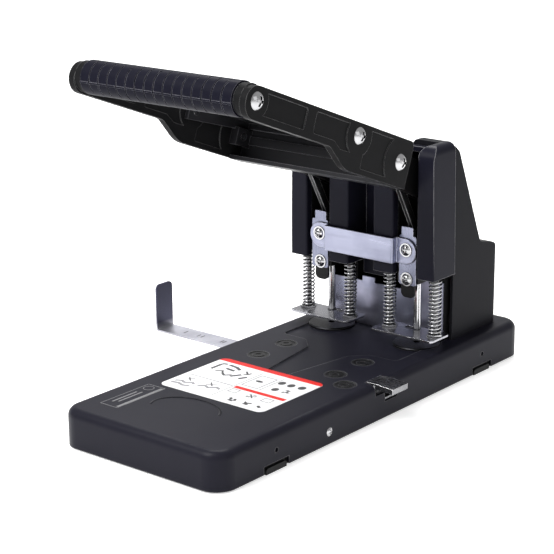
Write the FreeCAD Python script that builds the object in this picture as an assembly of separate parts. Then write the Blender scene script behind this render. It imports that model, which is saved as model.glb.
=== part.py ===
"""Lever-operated heavy-duty two-hole paper punch, built as separate pieces.

Units are millimetres. The origin is the middle of the base's underside, on the desk.
+X is the right-hand side seen from the front, +Y points to the rear and +Z points up.
"""
import FreeCAD, Part
import math
import os

from FreeCAD import Vector

# Base shell
base_length = 360.0
base_width = 144.0
base_height = 28.0
base_rim_lift = 1.0
base_corner_radius = 15.0
base_edge_radius = 6.0
base_wall = 2.5
base_top_wall = 3.0

# Punching geometry
hole_pitch = 80.0
punch_diameter = 5.5
punch_tip_angle = 20.0
punch_row_y = 82.0
punch_stroke = 19.0
punch_tip_height = 38.0

# Lever geometry: one hinge shaft, a link to each head and a grip across the front
shaft_y = 86.0
shaft_z = 150.0
shaft_diameter = 12.0
lever_slope = 20.8
lever_travel = 32.0
grip_reach = 249.5
grip_lift = 10.4

# Clearances and the overrun that every cut shares
running_clearance = 0.05
slide_clearance = 0.4
cover_clearance = 0.2
cut_overrun = 1.0

# Drawing aids: driver crosses in screw heads, hexagons and the springs' gap measure
cross_arm_share = 0.55
cross_width_share = 0.16
hexagon_sides = 6
points_per_turn = 24

# Shallow valley moulded into the top of the base, running back to the dies
valley_depth = 1.2
valley_front_half = 9.0
valley_neck_half = 18.5
valley_shoulder_half = 30.0
valley_half = 53.0
valley_front_y = -36.0
valley_neck_y = 25.0
valley_shoulder_y = 37.0
valley_bend_radius = 5.0

# Finger notches in the base's lower rim, one near each end of both sides
notch_length = 26.0
notch_height = 5.5
notch_y = 123.0

# Small holes and screws in the base's side walls
side_hole_radius = 1.7
side_hole_z = 14.5
side_screw_y = -66.5
side_screw_z = 9.7
side_screw_radius = 2.0
side_screw_head_radius = 3.2
side_screw_head_height = 1.1
side_screw_length = 6.5

# Round caps over the base's five screw wells
cap_radius = 8.0
cap_rim = 0.9
cap_stem_radius = 4.4
cap_stem_length = 2.0
cap_groove_depth = 0.5
cap_ring_outer = 4.6
cap_ring_inner = 2.4
cap_half_spacing = 35.6
cap_rear_y = 20.0
cap_front_y = -12.5
cap_extra_x = 53.9
cap_extra_y = -25.5

# Soft tray that closes the base from below and collects the chips
tray_floor = 2.0
tray_side_height = 9.0
tray_side_wall = 1.5
tray_tab_length = 21.0
tray_tab_height = 4.2
tray_lug_width = 10.0
tray_lug_height = 14.0
tray_lug_thickness = 4.0

# Steel chassis plate under the base's top, and the dies that stand on it
chassis_thickness = 4.5
chassis_side_gap = 8.0
chassis_front_y = 50.0
chassis_rear_y = 166.0
die_radius = 18.0
die_height = 3.5
die_spigot_radius = 8.0
die_spigot_length = 8.0
die_relief_radius = 4.5
die_cutting_length = 4.0
die_edge_chamfer = 0.8

# Instruction label on the base's front half
label_width = 93.0
label_length = 70.5
label_thickness = 0.3
label_corner_radius = 5.0
label_x = -2.8
label_y = -69.7

# Pressure plates and the rods that carry them
plate_width = 55.0
plate_depth = 24.5
plate_thickness = 1.5
plate_corner_radius = 3.0
plate_gap = 8.5
plate_inset = 1.5
plate_hole_clearance = 0.5
plate_slot_length = 14.0
plate_lead = 7.25
rod_spacing = 40.5
rod_inset = 1.25
rod_diameter = 5.0
rod_lead = 5.0
rod_head_radius = 4.0
rod_head_height = 1.2
seat_radius = 6.3
seat_height = 1.5
bridge_lift = 9.0
bridge_thickness = 6.0
bridge_rear_y = 96.0
bridge_shoulder_y = 88.0
bridge_notch_rear_y = 85.0
nut_height = 4.0
nut_across = 7.0

# Return springs
spring_diameter = 10.0
spring_wire = 1.2
spring_turns = 17
spring_end_clearance = 0.3

# Punch heads
head_width = 18.0
head_front_y = 69.0
head_rear_y = 88.0
head_bottom_z = 66.0
head_top_z = 104.0
head_nose_radius = 4.0
head_nose_thickness = 2.0
head_nose_half_width = 6.0
head_seat_z = 77.5
wing_bottom_z = 88.0
wing_height = 15.0
wing_half_depth = 5.8
wing_end_gap = 0.4
lug_height = 14.5
lug_rear_y = 84.0
bush_wall = 1.0
bush_flange = 0.8
bush_flange_height = 1.0
pin_seat_depth = 18.5

# Face plates, strap and their screws
face_plate_thickness = 1.5
face_plate_left = 7.0
face_plate_right = 8.0
face_plate_bottom_z = 76.0
face_plate_step_z = 113.5
face_plate_top_z = 120.0
face_plate_neck_half = 5.1
strap_thickness = 1.5
strap_height = 19.0
strap_bottom_z = 92.3
strap_standoff = 5.5
strap_ear_end = 48.6
strap_bend_radius = 1.6
strap_side_gap = 0.6
strap_screw_z = 103.0
face_screw_z = 80.5
head_screw_radius = 2.5
head_screw_head_radius = 4.2
head_screw_head_height = 2.4
head_screw_washer_radius = 5.2
head_screw_washer_height = 0.6
head_screw_length = 7.5

# Links between lever and heads
link_thickness = 3.2
link_half_width = 3.0
link_eye_radius = 5.0
link_pin_radius = 2.5
link_arc_drift = 1.4
link_pin_play = 0.3
link_foot_y = 79.5
link_foot_z = 112.0

# Column covers
tower_front_y = 64.0
tower_rear_y = 92.0
tower_bottom_z = 83.4
tower_top_z = 182.0
tower_inner_top_z = 178.0
tower_half_width = 66.0
tower_taper = 1.7
tower_wall = 2.0
tower_slot_width = 21.0
tower_inner_x = 11.5
tower_top_radius = 12.0
tower_side_radius = 6.5
tower_edge_radius = 1.5
tower_flange_depth = 6.5
recess_wall_y = 87.0
recess_wall_bottom_z = 72.0
cover_web_y = 89.0
cover_web_top_z = 108.0
cover_roof_bottom_z = 172.0
rear_half_width = 58.0
rear_wall = 2.5
rear_foot_y = 102.0
rear_end_y = 164.0
rear_shoulder_y = 138.0
rear_shoulder_z = 97.0
rear_box_z = 92.0
rear_box_radius = 14.0
rear_slope_y = 107.5
rear_slope_z = 171.0
rear_top_z = 180.0
rear_low_top_z = 174.0
rear_low_half_width = 27.0
rear_top_radius = 8.0
rear_corner_radius = 6.0
rear_ear_radius = 4.0
rear_hollow_bend_radius = 6.0

# Steel back plate seen between the springs
back_plate_y = 95.5
back_plate_thickness = 2.0
back_plate_half_width = 53.0
back_plate_top_z = 62.0
back_plate_tab_x = -15.0
back_plate_tab_width = 11.5
back_plate_tab_height = 4.0
back_plate_step_x = 33.0
back_plate_step_height = 11.0

# C-frame cheeks, two either side of each slot
cheek_thickness = 2.5
cheek_foot_front_y = 98.0
cheek_foot_rear_y = 152.0
cheek_heel_z = 78.0
cheek_waist_y = 124.0
cheek_waist_z = 96.0
cheek_neck_y = 99.0
cheek_neck_z = 160.0
cheek_top_z = 170.0
cheek_top_front_y = 77.0
cheek_jaw_front_y = 71.5
cheek_jaw_corner_z = 164.0
cheek_throat_z = 110.0
tie_radius = 3.0
tie_head_radius = 5.0
tie_head_height = 2.2
tie_spacer_radius = 5.0
tie_places = ((108.0, 44.0), (140.0, 44.0), (108.0, 100.0))
shaft_overhang = 2.3
shaft_groove_inset = 1.5
ring_radius = 8.5
ring_thickness = 1.2
spacer_radius = 8.5

# Arms, measured along the lever (forwards) and across it (upwards) from the shaft
arm_outer_x = 75.5
arm_thickness = 5.0
arm_rear = 74.0
arm_top = 19.9
arm_heel_bottom = -13.3
arm_heel_radius = 25.0
arm_throat_radius = 8.0
arm_front_bottom = -1.5
arm_end_radius = 11.2
arm_corner_chamfer = 3.0
arm_bolt_rear = 85.5
arm_bolt_rear_lift = 3.6
arm_bolt_front = 138.3
arm_bolt_front_lift = 11.3
arm_pocket_depth = 0.8
arm_pocket_radius = 1.5
arm_top_rib = 2.9
arm_low_rib = 4.5
arm_heel_rib = 4.0
arm_cross_rib = 9.8
arm_front_boss_radius = 14.0
arm_rear_boss_radius = 19.0
arm_rear_pocket_inset = 8.0
arm_hub_length = 5.5
bolt_radius = 3.0
bolt_head_radius = 6.0
bolt_head_height = 3.2

# Places along the arm's front run, as shares of the way from the front bolt to the grip
arm_heel_share = 0.07
arm_throat_share = 0.263
arm_split_share = 0.539
arm_shoulder_share = 0.236
arm_hook_share = 0.16

# Yoke joining both arms and both inner levers
yoke_wall = 3.0
yoke_web = 3.0
yoke_top = 18.0
yoke_bottom = -14.0
yoke_top_flange = 42.0
yoke_bottom_flange = 15.0
yoke_bead = 1.2
yoke_bead_bottom = -1.0
yoke_bead_top = 5.5
yoke_cap_bottom = 10.5
yoke_end_reach = 146.0
yoke_end_front_bottom = 3.8
yoke_end_rear_bottom = 9.5
yoke_lug_width = 6.5
yoke_lug_reach = 93.0
yoke_lug_bottom = -3.5

# Inner levers: a pair of steel plates for each slot
inner_plate_thickness = 3.7
inner_gap = 4.6
inner_eye_radius = 13.0
inner_link_radius = 8.0
lever_bush_wall = 2.0

# Grip
grip_diameter = 23.0
grip_rib_count = 16
grip_groove_depth = 0.7
grip_groove_width = 1.0
grip_end_gap = 0.5
grip_shaft_diameter = 10.0
grip_screw_depth = 11.0
grip_ridge_angle = 27.6
grip_ridge_width = 1.2
grip_ridge_height = 0.4

# Paper guide sliding across the base
guide_y = 8.0
guide_width = 18.0
guide_thickness = 1.3
guide_drop = 6.6
guide_overhang = 77.0
guide_upright_height = 36.0
guide_bend_radius = 2.4
guide_corner_radius = 4.0
guide_tail_x = -11.5
guide_slot_clearance = 0.4
rail_wall = 1.2
rail_end_gap = 12.5
rail_flange = 4.0

# Lock tab for the paper guide, at the right-hand edge
lock_y = -4.3
lock_width = 18.0
lock_thickness = 1.2
lock_inset = 9.0
lock_overhang = 14.0
lock_rise = 0.7
lock_droop = 1.2
lock_lip = 2.6
lock_slot_depth = 9.0
lock_pin_radius = 1.2
lock_window_y = 4.7
lock_window_width = 15.0
lock_window_drop = 15.0
lock_window_height = 8.0
lock_lug_height = 3.4
lock_lug_thickness = 1.6
lock_leaf_drop = 12.4
lock_leaf_inset = 0.4
lock_leaf_width = 13.0

# Screws that hold the rear cover
cover_screw_radius = 1.75
cover_screw_head_radius = 3.5
cover_screw_head_height = 1.2
cover_screw_end_gap = 0.1
cover_boss_radius = 4.0


# Values that follow from the sizes above
half_length = base_length / 2
half_width = base_width / 2
half_pitch = hole_pitch / 2
chassis_top_z = base_height - base_top_wall
valley_floor_z = base_height - valley_depth
chassis_half_width = half_width - chassis_side_gap
guide_top_z = base_height - guide_drop
guide_reach = half_width + guide_overhang
lock_inner_x = half_width - lock_inset
lock_outer_x = half_width + lock_overhang
lock_top_z = base_height + lock_rise
lock_window_bottom_z = base_height - lock_window_drop
lock_leaf_z = base_height - lock_leaf_drop
lock_leaf_end_x = half_width - lock_leaf_inset
die_top_z = chassis_top_z + die_height
plate_bottom_z = die_top_z + plate_gap
plate_top_z = plate_bottom_z + plate_thickness
rod_y = punch_row_y - rod_lead
rod_middle_x = half_pitch - rod_inset
rod_places = (rod_middle_x - rod_spacing / 2, rod_middle_x + rod_spacing / 2)
wing_top_z = wing_bottom_z + wing_height
bridge_bottom_z = wing_top_z + bridge_lift
bridge_top_z = bridge_bottom_z + bridge_thickness
spring_bottom_z = plate_top_z + seat_height
slot_left = half_pitch - tower_slot_width / 2
slot_right = half_pitch + tower_slot_width / 2
inner_half = inner_gap / 2 + inner_plate_thickness
arm_inner_x = arm_outer_x - arm_thickness
grip_half_length = arm_inner_x - arm_hub_length - grip_end_gap
arm_front_run = grip_reach - arm_bolt_front
arm_heel_end = arm_bolt_front + arm_heel_share * arm_front_run
arm_throat_end = arm_bolt_front + arm_throat_share * arm_front_run
cover_screw_end_y = tie_places[1][0] + tie_radius + cover_screw_end_gap
slope = math.radians(lever_slope)
sweep = math.radians(lever_travel)
crank_radius = punch_stroke / (2 * math.sin(sweep / 2))
link_head_y = shaft_y - crank_radius * math.cos(sweep / 2)
link_head_z = shaft_z + crank_radius * math.sin(sweep / 2)


def box(x0, x1, y0, y1, z0, z1):
    """Block between two corners."""
    return Part.makeBox(x1 - x0, y1 - y0, z1 - z0, Vector(x0, y0, z0))


def rod_x(radius, x0, x1, y, z):
    """Cylinder along X."""
    return Part.makeCylinder(radius, x1 - x0, Vector(x0, y, z), Vector(1, 0, 0))


def rod_y_axis(radius, y0, y1, x, z):
    """Cylinder along Y."""
    return Part.makeCylinder(radius, y1 - y0, Vector(x, y0, z), Vector(0, 1, 0))


def rod_z(radius, z0, z1, x, y):
    """Cylinder along Z."""
    return Part.makeCylinder(radius, z1 - z0, Vector(x, y, z0), Vector(0, 0, 1))


def fuse(shapes):
    """One solid from touching or overlapping shapes."""
    joined = shapes[0]
    if len(shapes) > 1:
        joined = shapes[0].multiFuse(shapes[1:])
    return joined.removeSplitter()


def mirror_x(shape):
    """Copy on the other side of the YZ plane."""
    return shape.mirror(Vector(0, 0, 0), Vector(1, 0, 0))


def both_sides(shapes):
    """The given solids and their copies across the YZ plane."""
    return Part.makeCompound(shapes + [mirror_x(shape) for shape in shapes])


def side_point(y, z):
    return Vector(0, y, z)


def front_point(x, z):
    return Vector(x, 0, z)


def plan_point(x, y):
    return Vector(x, y, 0)


def rounded_outline(points, radii):
    """Closed wire through the points, each corner rounded by its own radius (0 stays sharp)."""
    count = len(points)
    starts = []
    ends = []
    middles = []
    for index in range(count):
        corner = points[index]
        radius = radii[index]
        back = points[index - 1].sub(corner)
        ahead = points[(index + 1) % count].sub(corner)
        back.normalize()
        ahead.normalize()
        if radius == 0:
            starts.append(corner)
            ends.append(corner)
            middles.append(None)
            continue
        half_angle = back.getAngle(ahead) / 2
        reach = radius / math.tan(half_angle)
        bisector = back.add(ahead)
        bisector.normalize()
        centre = corner.add(bisector.multiply(radius / math.sin(half_angle)))
        inward = corner.sub(centre)
        inward.normalize()
        starts.append(corner.add(Vector(back).multiply(reach)))
        ends.append(corner.add(Vector(ahead).multiply(reach)))
        middles.append(centre.add(inward.multiply(radius)))
    edges = []
    for index in range(count):
        if middles[index] is not None:
            edges.append(Part.Arc(starts[index], middles[index], ends[index]).toShape())
        following = starts[(index + 1) % count]
        if ends[index].distanceToPoint(following) > running_clearance:
            edges.append(Part.LineSegment(ends[index], following).toShape())
    return Part.Wire(edges)


def prism(points, radii, direction):
    """Rounded outline pushed along a direction."""
    return Part.Face(rounded_outline(points, radii)).extrude(direction)


def side_prism(places, radii, x0, x1):
    """Outline of (y, z) places pushed along X from x0 to x1."""
    solid = prism([side_point(y, z) for y, z in places], radii, Vector(x1 - x0, 0, 0))
    solid.translate(Vector(x0, 0, 0))
    return solid


def front_prism(places, radii, y0, y1):
    """Outline of (x, z) places pushed along Y from y0 to y1."""
    solid = prism([front_point(x, z) for x, z in places], radii, Vector(0, y1 - y0, 0))
    solid.translate(Vector(0, y0, 0))
    return solid


def plan_prism(places, radii, z0, z1):
    """Outline of (x, y) places pushed along Z from z0 to z1."""
    solid = prism([plan_point(x, y) for x, y in places], radii, Vector(0, 0, z1 - z0))
    solid.translate(Vector(0, 0, z0))
    return solid


def rectangle(a0, a1, b0, b1):
    """Corner places of a rectangle, anticlockwise."""
    return [(a0, b0), (a1, b0), (a1, b1), (a0, b1)]


def rounded_block(x0, x1, y0, y1, z0, z1, radius):
    """Block with rounded upright edges."""
    return plan_prism(rectangle(x0, x1, y0, y1), [radius] * 4, z0, z1)


def hexagon_x(across, x0, x1, y, z):
    """Hexagonal nut body along X."""
    corner = across / math.sqrt(3)
    turns = [2 * math.pi * step / hexagon_sides for step in range(hexagon_sides)]
    places = [(y + corner * math.cos(turn), z + corner * math.sin(turn)) for turn in turns]
    return side_prism(places, [0] * hexagon_sides, x0, x1)


def hexagon_z(across, z0, z1, x, y):
    """Hexagonal nut body along Z."""
    corner = across / math.sqrt(3)
    turns = [2 * math.pi * step / hexagon_sides for step in range(hexagon_sides)]
    places = [(x + corner * math.cos(turn), y + corner * math.sin(turn)) for turn in turns]
    return plan_prism(places, [0] * hexagon_sides, z0, z1)


def dome(radius, height):
    """Low screw head on the XY plane, its flat side down."""
    sphere_radius = (radius * radius + height * height) / (2 * height)
    ball = Part.makeSphere(sphere_radius, Vector(0, 0, height - sphere_radius))
    return ball.common(Part.makeCylinder(radius, height))


def cross_slot(radius, depth, height):
    """Cross-shaped driver recess cut down from the given height."""
    arm = radius * cross_arm_share
    width = radius * cross_width_share
    first = box(-arm, arm, -width, width, height - depth, height + cut_overrun)
    second = box(-width, width, -arm, arm, height - depth, height + cut_overrun)
    return first.fuse(second)


def cross_head(radius, height):
    """Domed head with a cross recess, flat side down on the XY plane."""
    return dome(radius, height).cut(cross_slot(radius, height / 2, height))


def turn_to_x(shape, x, y, z):
    """Piece made along Z, laid along +X with its foot at the given place."""
    shape.rotate(Vector(0, 0, 0), Vector(0, 1, 0), 90)
    shape.translate(Vector(x, y, z))
    return shape


def turn_to_front(shape, x, y, z):
    """Piece made along Z, laid along -Y with its foot at the given place."""
    shape.rotate(Vector(0, 0, 0), Vector(1, 0, 0), 90)
    shape.translate(Vector(x, y, z))
    return shape


def turn_to_rear(shape, x, y, z):
    """Piece made along Z, laid along +Y with its foot at the given place."""
    shape.rotate(Vector(0, 0, 0), Vector(1, 0, 0), -90)
    shape.translate(Vector(x, y, z))
    return shape


def lever_place(u, v):
    """(y, z) in the lever's own frame of a place u forwards and v upwards from the shaft."""
    return (-u, v)


def set_lever(shape):
    """Piece made in the lever's own frame, swung to its raised position on the shaft."""
    shape.rotate(Vector(0, 0, 0), Vector(1, 0, 0), -lever_slope)
    shape.translate(Vector(0, shaft_y, shaft_z))
    return shape


# Base and what is fixed in it

def make_base_shell():
    outer = rounded_block(-half_width, half_width, -half_length, half_length,
                          base_rim_lift, base_height, base_corner_radius)
    top_edges = [edge for edge in outer.Edges
                 if edge.BoundBox.ZMin > base_height - cut_overrun]
    outer = outer.makeFillet(base_edge_radius, top_edges)
    inner_x = half_width - base_wall
    inner_y = half_length - base_wall
    hollow = rounded_block(-inner_x, inner_x, -inner_y, inner_y,
                           -cut_overrun, chassis_top_z, base_corner_radius - base_wall)
    inner_top = [edge for edge in hollow.Edges
                 if edge.BoundBox.ZMin > chassis_top_z - cut_overrun]
    hollow = hollow.makeFillet(base_edge_radius - base_wall, inner_top)
    shell = outer.cut(hollow)
    shell = shell.cut(make_valley())
    tools = []
    for side in (-1, 1):
        tools.append(rod_z(die_radius + cover_clearance, chassis_top_z - cut_overrun,
                           base_height + cut_overrun, side * half_pitch, punch_row_y))
        for end in (-1, 1):
            start = end * notch_y - notch_length / 2
            left = min(side * (half_width + cut_overrun), side * (inner_x - cut_overrun))
            tools.append(box(left, left + base_wall + 2 * cut_overrun,
                             start, start + notch_length, 0, base_rim_lift + notch_height))
            tools.append(rod_x(side_hole_radius, left, left + base_wall + 2 * cut_overrun,
                               end * notch_y, side_hole_z))
        tools.append(rod_x(side_screw_radius + running_clearance, left,
                           left + base_wall + 2 * cut_overrun, side_screw_y, side_screw_z))
    for x, y in cap_places():
        tools.append(rod_z(cap_radius + cover_clearance, base_height - cap_rim,
                           base_height + cut_overrun, x, y))
        tools.append(rod_z(cap_stem_radius + cover_clearance, chassis_top_z - cut_overrun,
                           base_height, x, y))
    tools.append(box(-back_plate_half_width - slide_clearance, back_plate_half_width + slide_clearance,
                     back_plate_y - slide_clearance, cheek_foot_rear_y + slide_clearance,
                     chassis_top_z - cut_overrun, base_height + cut_overrun))
    tools.append(guide_mouth())
    tools.append(lock_pocket())
    tools.append(box(inner_x - cut_overrun, half_width + cut_overrun,
                     lock_window_y - lock_window_width / 2, lock_window_y + lock_window_width / 2,
                     lock_window_bottom_z, lock_window_bottom_z + lock_window_height))
    return shell.cut(tools)


def make_valley():
    """Tool for the shallow valley in the base's top."""
    rear = cheek_foot_rear_y
    right = [(valley_front_half, valley_front_y), (valley_neck_half, valley_neck_y),
             (valley_shoulder_half, valley_shoulder_y), (valley_half, valley_shoulder_y),
             (valley_half, rear)]
    left = [(-x, y) for x, y in reversed(right)]
    radii = [valley_bend_radius] * 4 + [0, 0] + [valley_bend_radius] * 4
    return plan_prism(right + left, radii, valley_floor_z, base_height + cut_overrun)


def guide_mouth():
    """Slot in the left wall that the paper guide slides through."""
    half = guide_width / 2 + guide_slot_clearance
    return box(-half_width - cut_overrun, -half_width + 2 * base_wall, guide_y - half, guide_y + half,
               guide_top_z - guide_thickness - guide_slot_clearance, guide_top_z + guide_slot_clearance)


def lock_pocket():
    """Opening through the right-hand top edge for the lock tab and the finger scoop behind it."""
    half = lock_width / 2 + slide_clearance
    slot = box(lock_inner_x - slide_clearance, half_width + cut_overrun, lock_y - half, lock_y + half,
               lock_top_z - lock_slot_depth, base_height + cut_overrun)
    scoop = rod_z(lock_width / 2, lock_top_z - lock_slot_depth / 2, base_height + cut_overrun,
                  lock_outer_x - lock_width / 2, lock_y + half)
    return slot.fuse(scoop)


def cap_places():
    """Centres of the five round caps."""
    places = []
    for side in (-1, 1):
        places.append((side * cap_half_spacing, cap_rear_y))
        places.append((side * cap_half_spacing, cap_front_y))
    places.append((cap_extra_x, cap_extra_y))
    return places


def make_screw_caps():
    caps = []
    for x, y in cap_places():
        disc = rod_z(cap_radius, base_height - cap_rim, base_height, x, y)
        stem = rod_z(cap_stem_radius, base_height - cap_rim - cap_stem_length, base_height - cap_rim, x, y)
        groove = rod_z(cap_radius - cap_rim, base_height - cap_groove_depth, base_height, x, y)
        groove = groove.cut(rod_z(cap_ring_outer, base_height - cap_rim, base_height, x, y))
        dimple = rod_z(cap_ring_inner, base_height - cap_groove_depth, base_height, x, y)
        caps.append(disc.fuse(stem).cut([groove, dimple]))
    return Part.makeCompound(caps)


def make_chip_tray():
    margin = cover_clearance
    x = half_width - base_wall - margin
    y = half_length - base_wall - margin
    radius = base_corner_radius - base_wall - margin
    floor = rounded_block(-x, x, -y, y, 0, tray_floor, radius)
    wall = rounded_block(-x, x, -y, y, 0, tray_side_height, radius)
    hollow = rounded_block(-x + tray_side_wall, x - tray_side_wall, -y + tray_side_wall, y - tray_side_wall,
                           0, tray_side_height + cut_overrun, radius - tray_side_wall)
    pieces = [floor, wall.cut(hollow)]
    for side in (-1, 1):
        for end in (-1, 1):
            first = side * (x - tray_side_wall)
            second = side * (half_width - margin)
            tab = box(min(first, second), max(first, second),
                      end * notch_y - tray_tab_length / 2, end * notch_y + tray_tab_length / 2,
                      0, tray_tab_height)
            low_edges = [edge for edge in tab.Edges
                         if abs(edge.BoundBox.YLength) < margin and abs(edge.BoundBox.ZLength) < margin
                         and edge.BoundBox.ZMin > tray_tab_height - margin]
            pieces.append(tab.makeFillet(tray_tab_height / 2, low_edges))
        first = side * x
        second = side * (x - tray_lug_thickness)
        pieces.append(box(min(first, second), max(first, second), side_screw_y - tray_lug_width / 2,
                          side_screw_y + tray_lug_width / 2, 0, tray_lug_height))
    screw_holes = rod_x(side_screw_radius, -x - cut_overrun, x + cut_overrun, side_screw_y, side_screw_z)
    return fuse(pieces).cut(screw_holes)


def make_side_screws():
    head = cross_head(side_screw_head_radius, side_screw_head_height)
    shank = Part.makeCylinder(side_screw_radius, side_screw_length, Vector(0, 0, -side_screw_length))
    screw = turn_to_x(fuse([head, shank]), half_width, side_screw_y, side_screw_z)
    return both_sides([screw])


def make_chassis_plate():
    plate = rounded_block(-chassis_half_width, chassis_half_width, chassis_front_y, chassis_rear_y,
                          chassis_top_z - chassis_thickness, chassis_top_z, base_edge_radius)
    tools = []
    for side in (-1, 1):
        tools.append(rod_z(die_spigot_radius, chassis_top_z - chassis_thickness - cut_overrun,
                           chassis_top_z + cut_overrun, side * half_pitch, punch_row_y))
    return plate.cut(tools)


def make_die(side):
    x = side * half_pitch
    disc = rod_z(die_radius, chassis_top_z, die_top_z, x, punch_row_y)
    rim = [edge for edge in disc.Edges
           if edge.BoundBox.ZMin > die_top_z - running_clearance]
    disc = disc.makeChamfer(die_edge_chamfer, rim)
    spigot = rod_z(die_spigot_radius, chassis_top_z - die_spigot_length, chassis_top_z, x, punch_row_y)
    bore = rod_z(punch_diameter / 2 + running_clearance, chassis_top_z - die_spigot_length - cut_overrun,
                 die_top_z + cut_overrun, x, punch_row_y)
    relief = rod_z(die_relief_radius, chassis_top_z - die_spigot_length - cut_overrun,
                   die_top_z - die_cutting_length, x, punch_row_y)
    return fuse([disc, spigot]).cut([bore, relief])


def make_instruction_label():
    return rounded_block(label_x - label_width / 2, label_x + label_width / 2,
                         label_y - label_length / 2, label_y + label_length / 2,
                         base_height, base_height + label_thickness, label_corner_radius)


def make_guide_rail():
    """Channel under the base's top that the paper guide slides in."""
    half = guide_width / 2 + guide_slot_clearance
    x0 = -half_width + base_wall + base_edge_radius
    x1 = half_width - rail_end_gap
    floor_top = guide_top_z - guide_thickness - guide_slot_clearance
    outer = box(x0, x1, guide_y - half - rail_wall, guide_y + half + rail_wall,
                floor_top - rail_wall, chassis_top_z)
    inner = box(x0 - cut_overrun, x1 + cut_overrun, guide_y - half, guide_y + half,
                floor_top, chassis_top_z + cut_overrun)
    flanges = [box(x0, x1, guide_y - half - rail_wall - rail_flange, guide_y - half - rail_wall,
                   chassis_top_z - rail_wall, chassis_top_z),
               box(x0, x1, guide_y + half + rail_wall, guide_y + half + rail_wall + rail_flange,
                   chassis_top_z - rail_wall, chassis_top_z)]
    rail = fuse([outer.cut(inner)] + flanges)
    wells = [rod_z(cap_stem_radius + slide_clearance, chassis_top_z - rail_wall - cut_overrun,
                   chassis_top_z + cut_overrun, x, y) for x, y in cap_places()]
    return rail.cut(wells)


# Column: covers, steel frame, shaft

def tower_outer(x0, x1, taper, top_z):
    """Solid tower between two X faces with a domed top, the x1 face leaning in by the taper."""
    front_view = front_prism([(x0, tower_bottom_z), (x1, tower_bottom_z), (x1 - taper, top_z),
                              (x0, top_z)], [0, 0, tower_side_radius, tower_side_radius],
                             tower_front_y, tower_rear_y)
    side_view = side_prism(rectangle(tower_front_y, tower_rear_y, tower_bottom_z, top_z),
                           [0, 0, 0, tower_top_radius], x0, x1)
    plan_view = plan_prism(rectangle(x0, x1, tower_front_y, tower_rear_y),
                           [tower_edge_radius, tower_edge_radius, 0, 0], tower_bottom_z, top_z)
    return front_view.common(side_view).common(plan_view)


def make_front_cover():
    """Four hollow towers with a slot in each pair, joined behind by a web and a roof bar."""
    outer = tower_outer(slot_right, tower_half_width, tower_taper, tower_top_z)
    outer_hollow = front_prism([(slot_right + tower_wall, tower_bottom_z - cut_overrun),
                                (tower_half_width - tower_wall, tower_bottom_z - cut_overrun),
                                (tower_half_width - tower_wall - tower_taper, cover_roof_bottom_z),
                                (slot_right + tower_wall, cover_roof_bottom_z)], [0] * 4,
                               tower_front_y + tower_wall, tower_rear_y - tower_wall)
    outer_window = box(slot_right - cut_overrun, slot_right + tower_wall + cut_overrun,
                       tower_front_y + tower_flange_depth, tower_rear_y + cut_overrun,
                       tower_bottom_z - cut_overrun, cover_roof_bottom_z)
    rear_window = box(slot_right - cut_overrun, rear_half_width - rear_wall,
                      tower_rear_y - tower_wall - cut_overrun, tower_rear_y + cut_overrun,
                      tower_bottom_z - cut_overrun, cover_roof_bottom_z)
    outer = outer.cut([outer_hollow, outer_window, rear_window])
    inner = tower_outer(tower_inner_x, slot_left, 0, tower_inner_top_z)
    inner_hollow = box(tower_inner_x + tower_wall, slot_left - tower_wall,
                       tower_front_y + tower_wall, tower_rear_y + cut_overrun,
                       tower_bottom_z - cut_overrun, cover_roof_bottom_z - tower_wall)
    inner_window = box(slot_left - tower_wall - cut_overrun, slot_left + cut_overrun,
                       tower_front_y + tower_flange_depth, tower_rear_y + cut_overrun,
                       tower_bottom_z - cut_overrun, cover_roof_bottom_z)
    inner = inner.cut([inner_hollow, inner_window])
    web = box(0, tower_half_width - tower_wall, cover_web_y, cover_web_y + tower_wall,
              tower_bottom_z, cover_web_top_z)
    roof = box(0, slot_right + tower_wall, recess_wall_y, tower_rear_y,
               cover_roof_bottom_z, tower_inner_top_z - tower_wall)
    panel = box(0, tower_inner_x + tower_wall, recess_wall_y, cover_web_y,
                recess_wall_bottom_z, tower_inner_top_z - tower_wall)
    skirt = box(0, tower_inner_x + tower_wall, cover_web_y, cover_web_y + tower_wall,
                recess_wall_bottom_z, tower_bottom_z)
    half = fuse([outer, inner, web, roof, panel, skirt])
    return fuse([half, mirror_x(half)])


def rear_side_outline(inset):
    """(y, z) places of the rear cover's side outline, moved inwards by the inset."""
    return [(rear_foot_y, base_height), (rear_end_y - inset, base_height),
            (rear_end_y - inset, rear_box_z - inset), (rear_shoulder_y - inset, rear_shoulder_z - inset),
            (rear_slope_y - inset, rear_slope_z - inset), (rear_slope_y - rear_top_radius - inset,
                                                           rear_top_z - inset),
            (tower_rear_y + cover_clearance, rear_top_z - inset),
            (tower_rear_y + cover_clearance, tower_bottom_z),
            (rear_foot_y, tower_bottom_z)]


def rear_solid(inset):
    """Rear cover's outer form, or the hollow inside it when an inset is given."""
    half = rear_half_width - inset
    radii = [0, 0, rear_box_radius - inset, rear_hollow_bend_radius, rear_top_radius, 0, 0, 0, 0]
    side_view = side_prism(rear_side_outline(inset), radii, -half, half)
    back_view = front_prism(rectangle(-half, half, base_height - cut_overrun, rear_top_z - inset),
                            [0, 0, rear_top_radius - inset, rear_top_radius - inset],
                            tower_rear_y, rear_end_y)
    plan_view = plan_prism(rectangle(-half, half, tower_rear_y, rear_end_y - inset),
                           [0, 0, rear_corner_radius - inset, rear_corner_radius - inset],
                           base_height - cut_overrun, rear_top_z)
    return side_view.common(back_view).common(plan_view)


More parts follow.
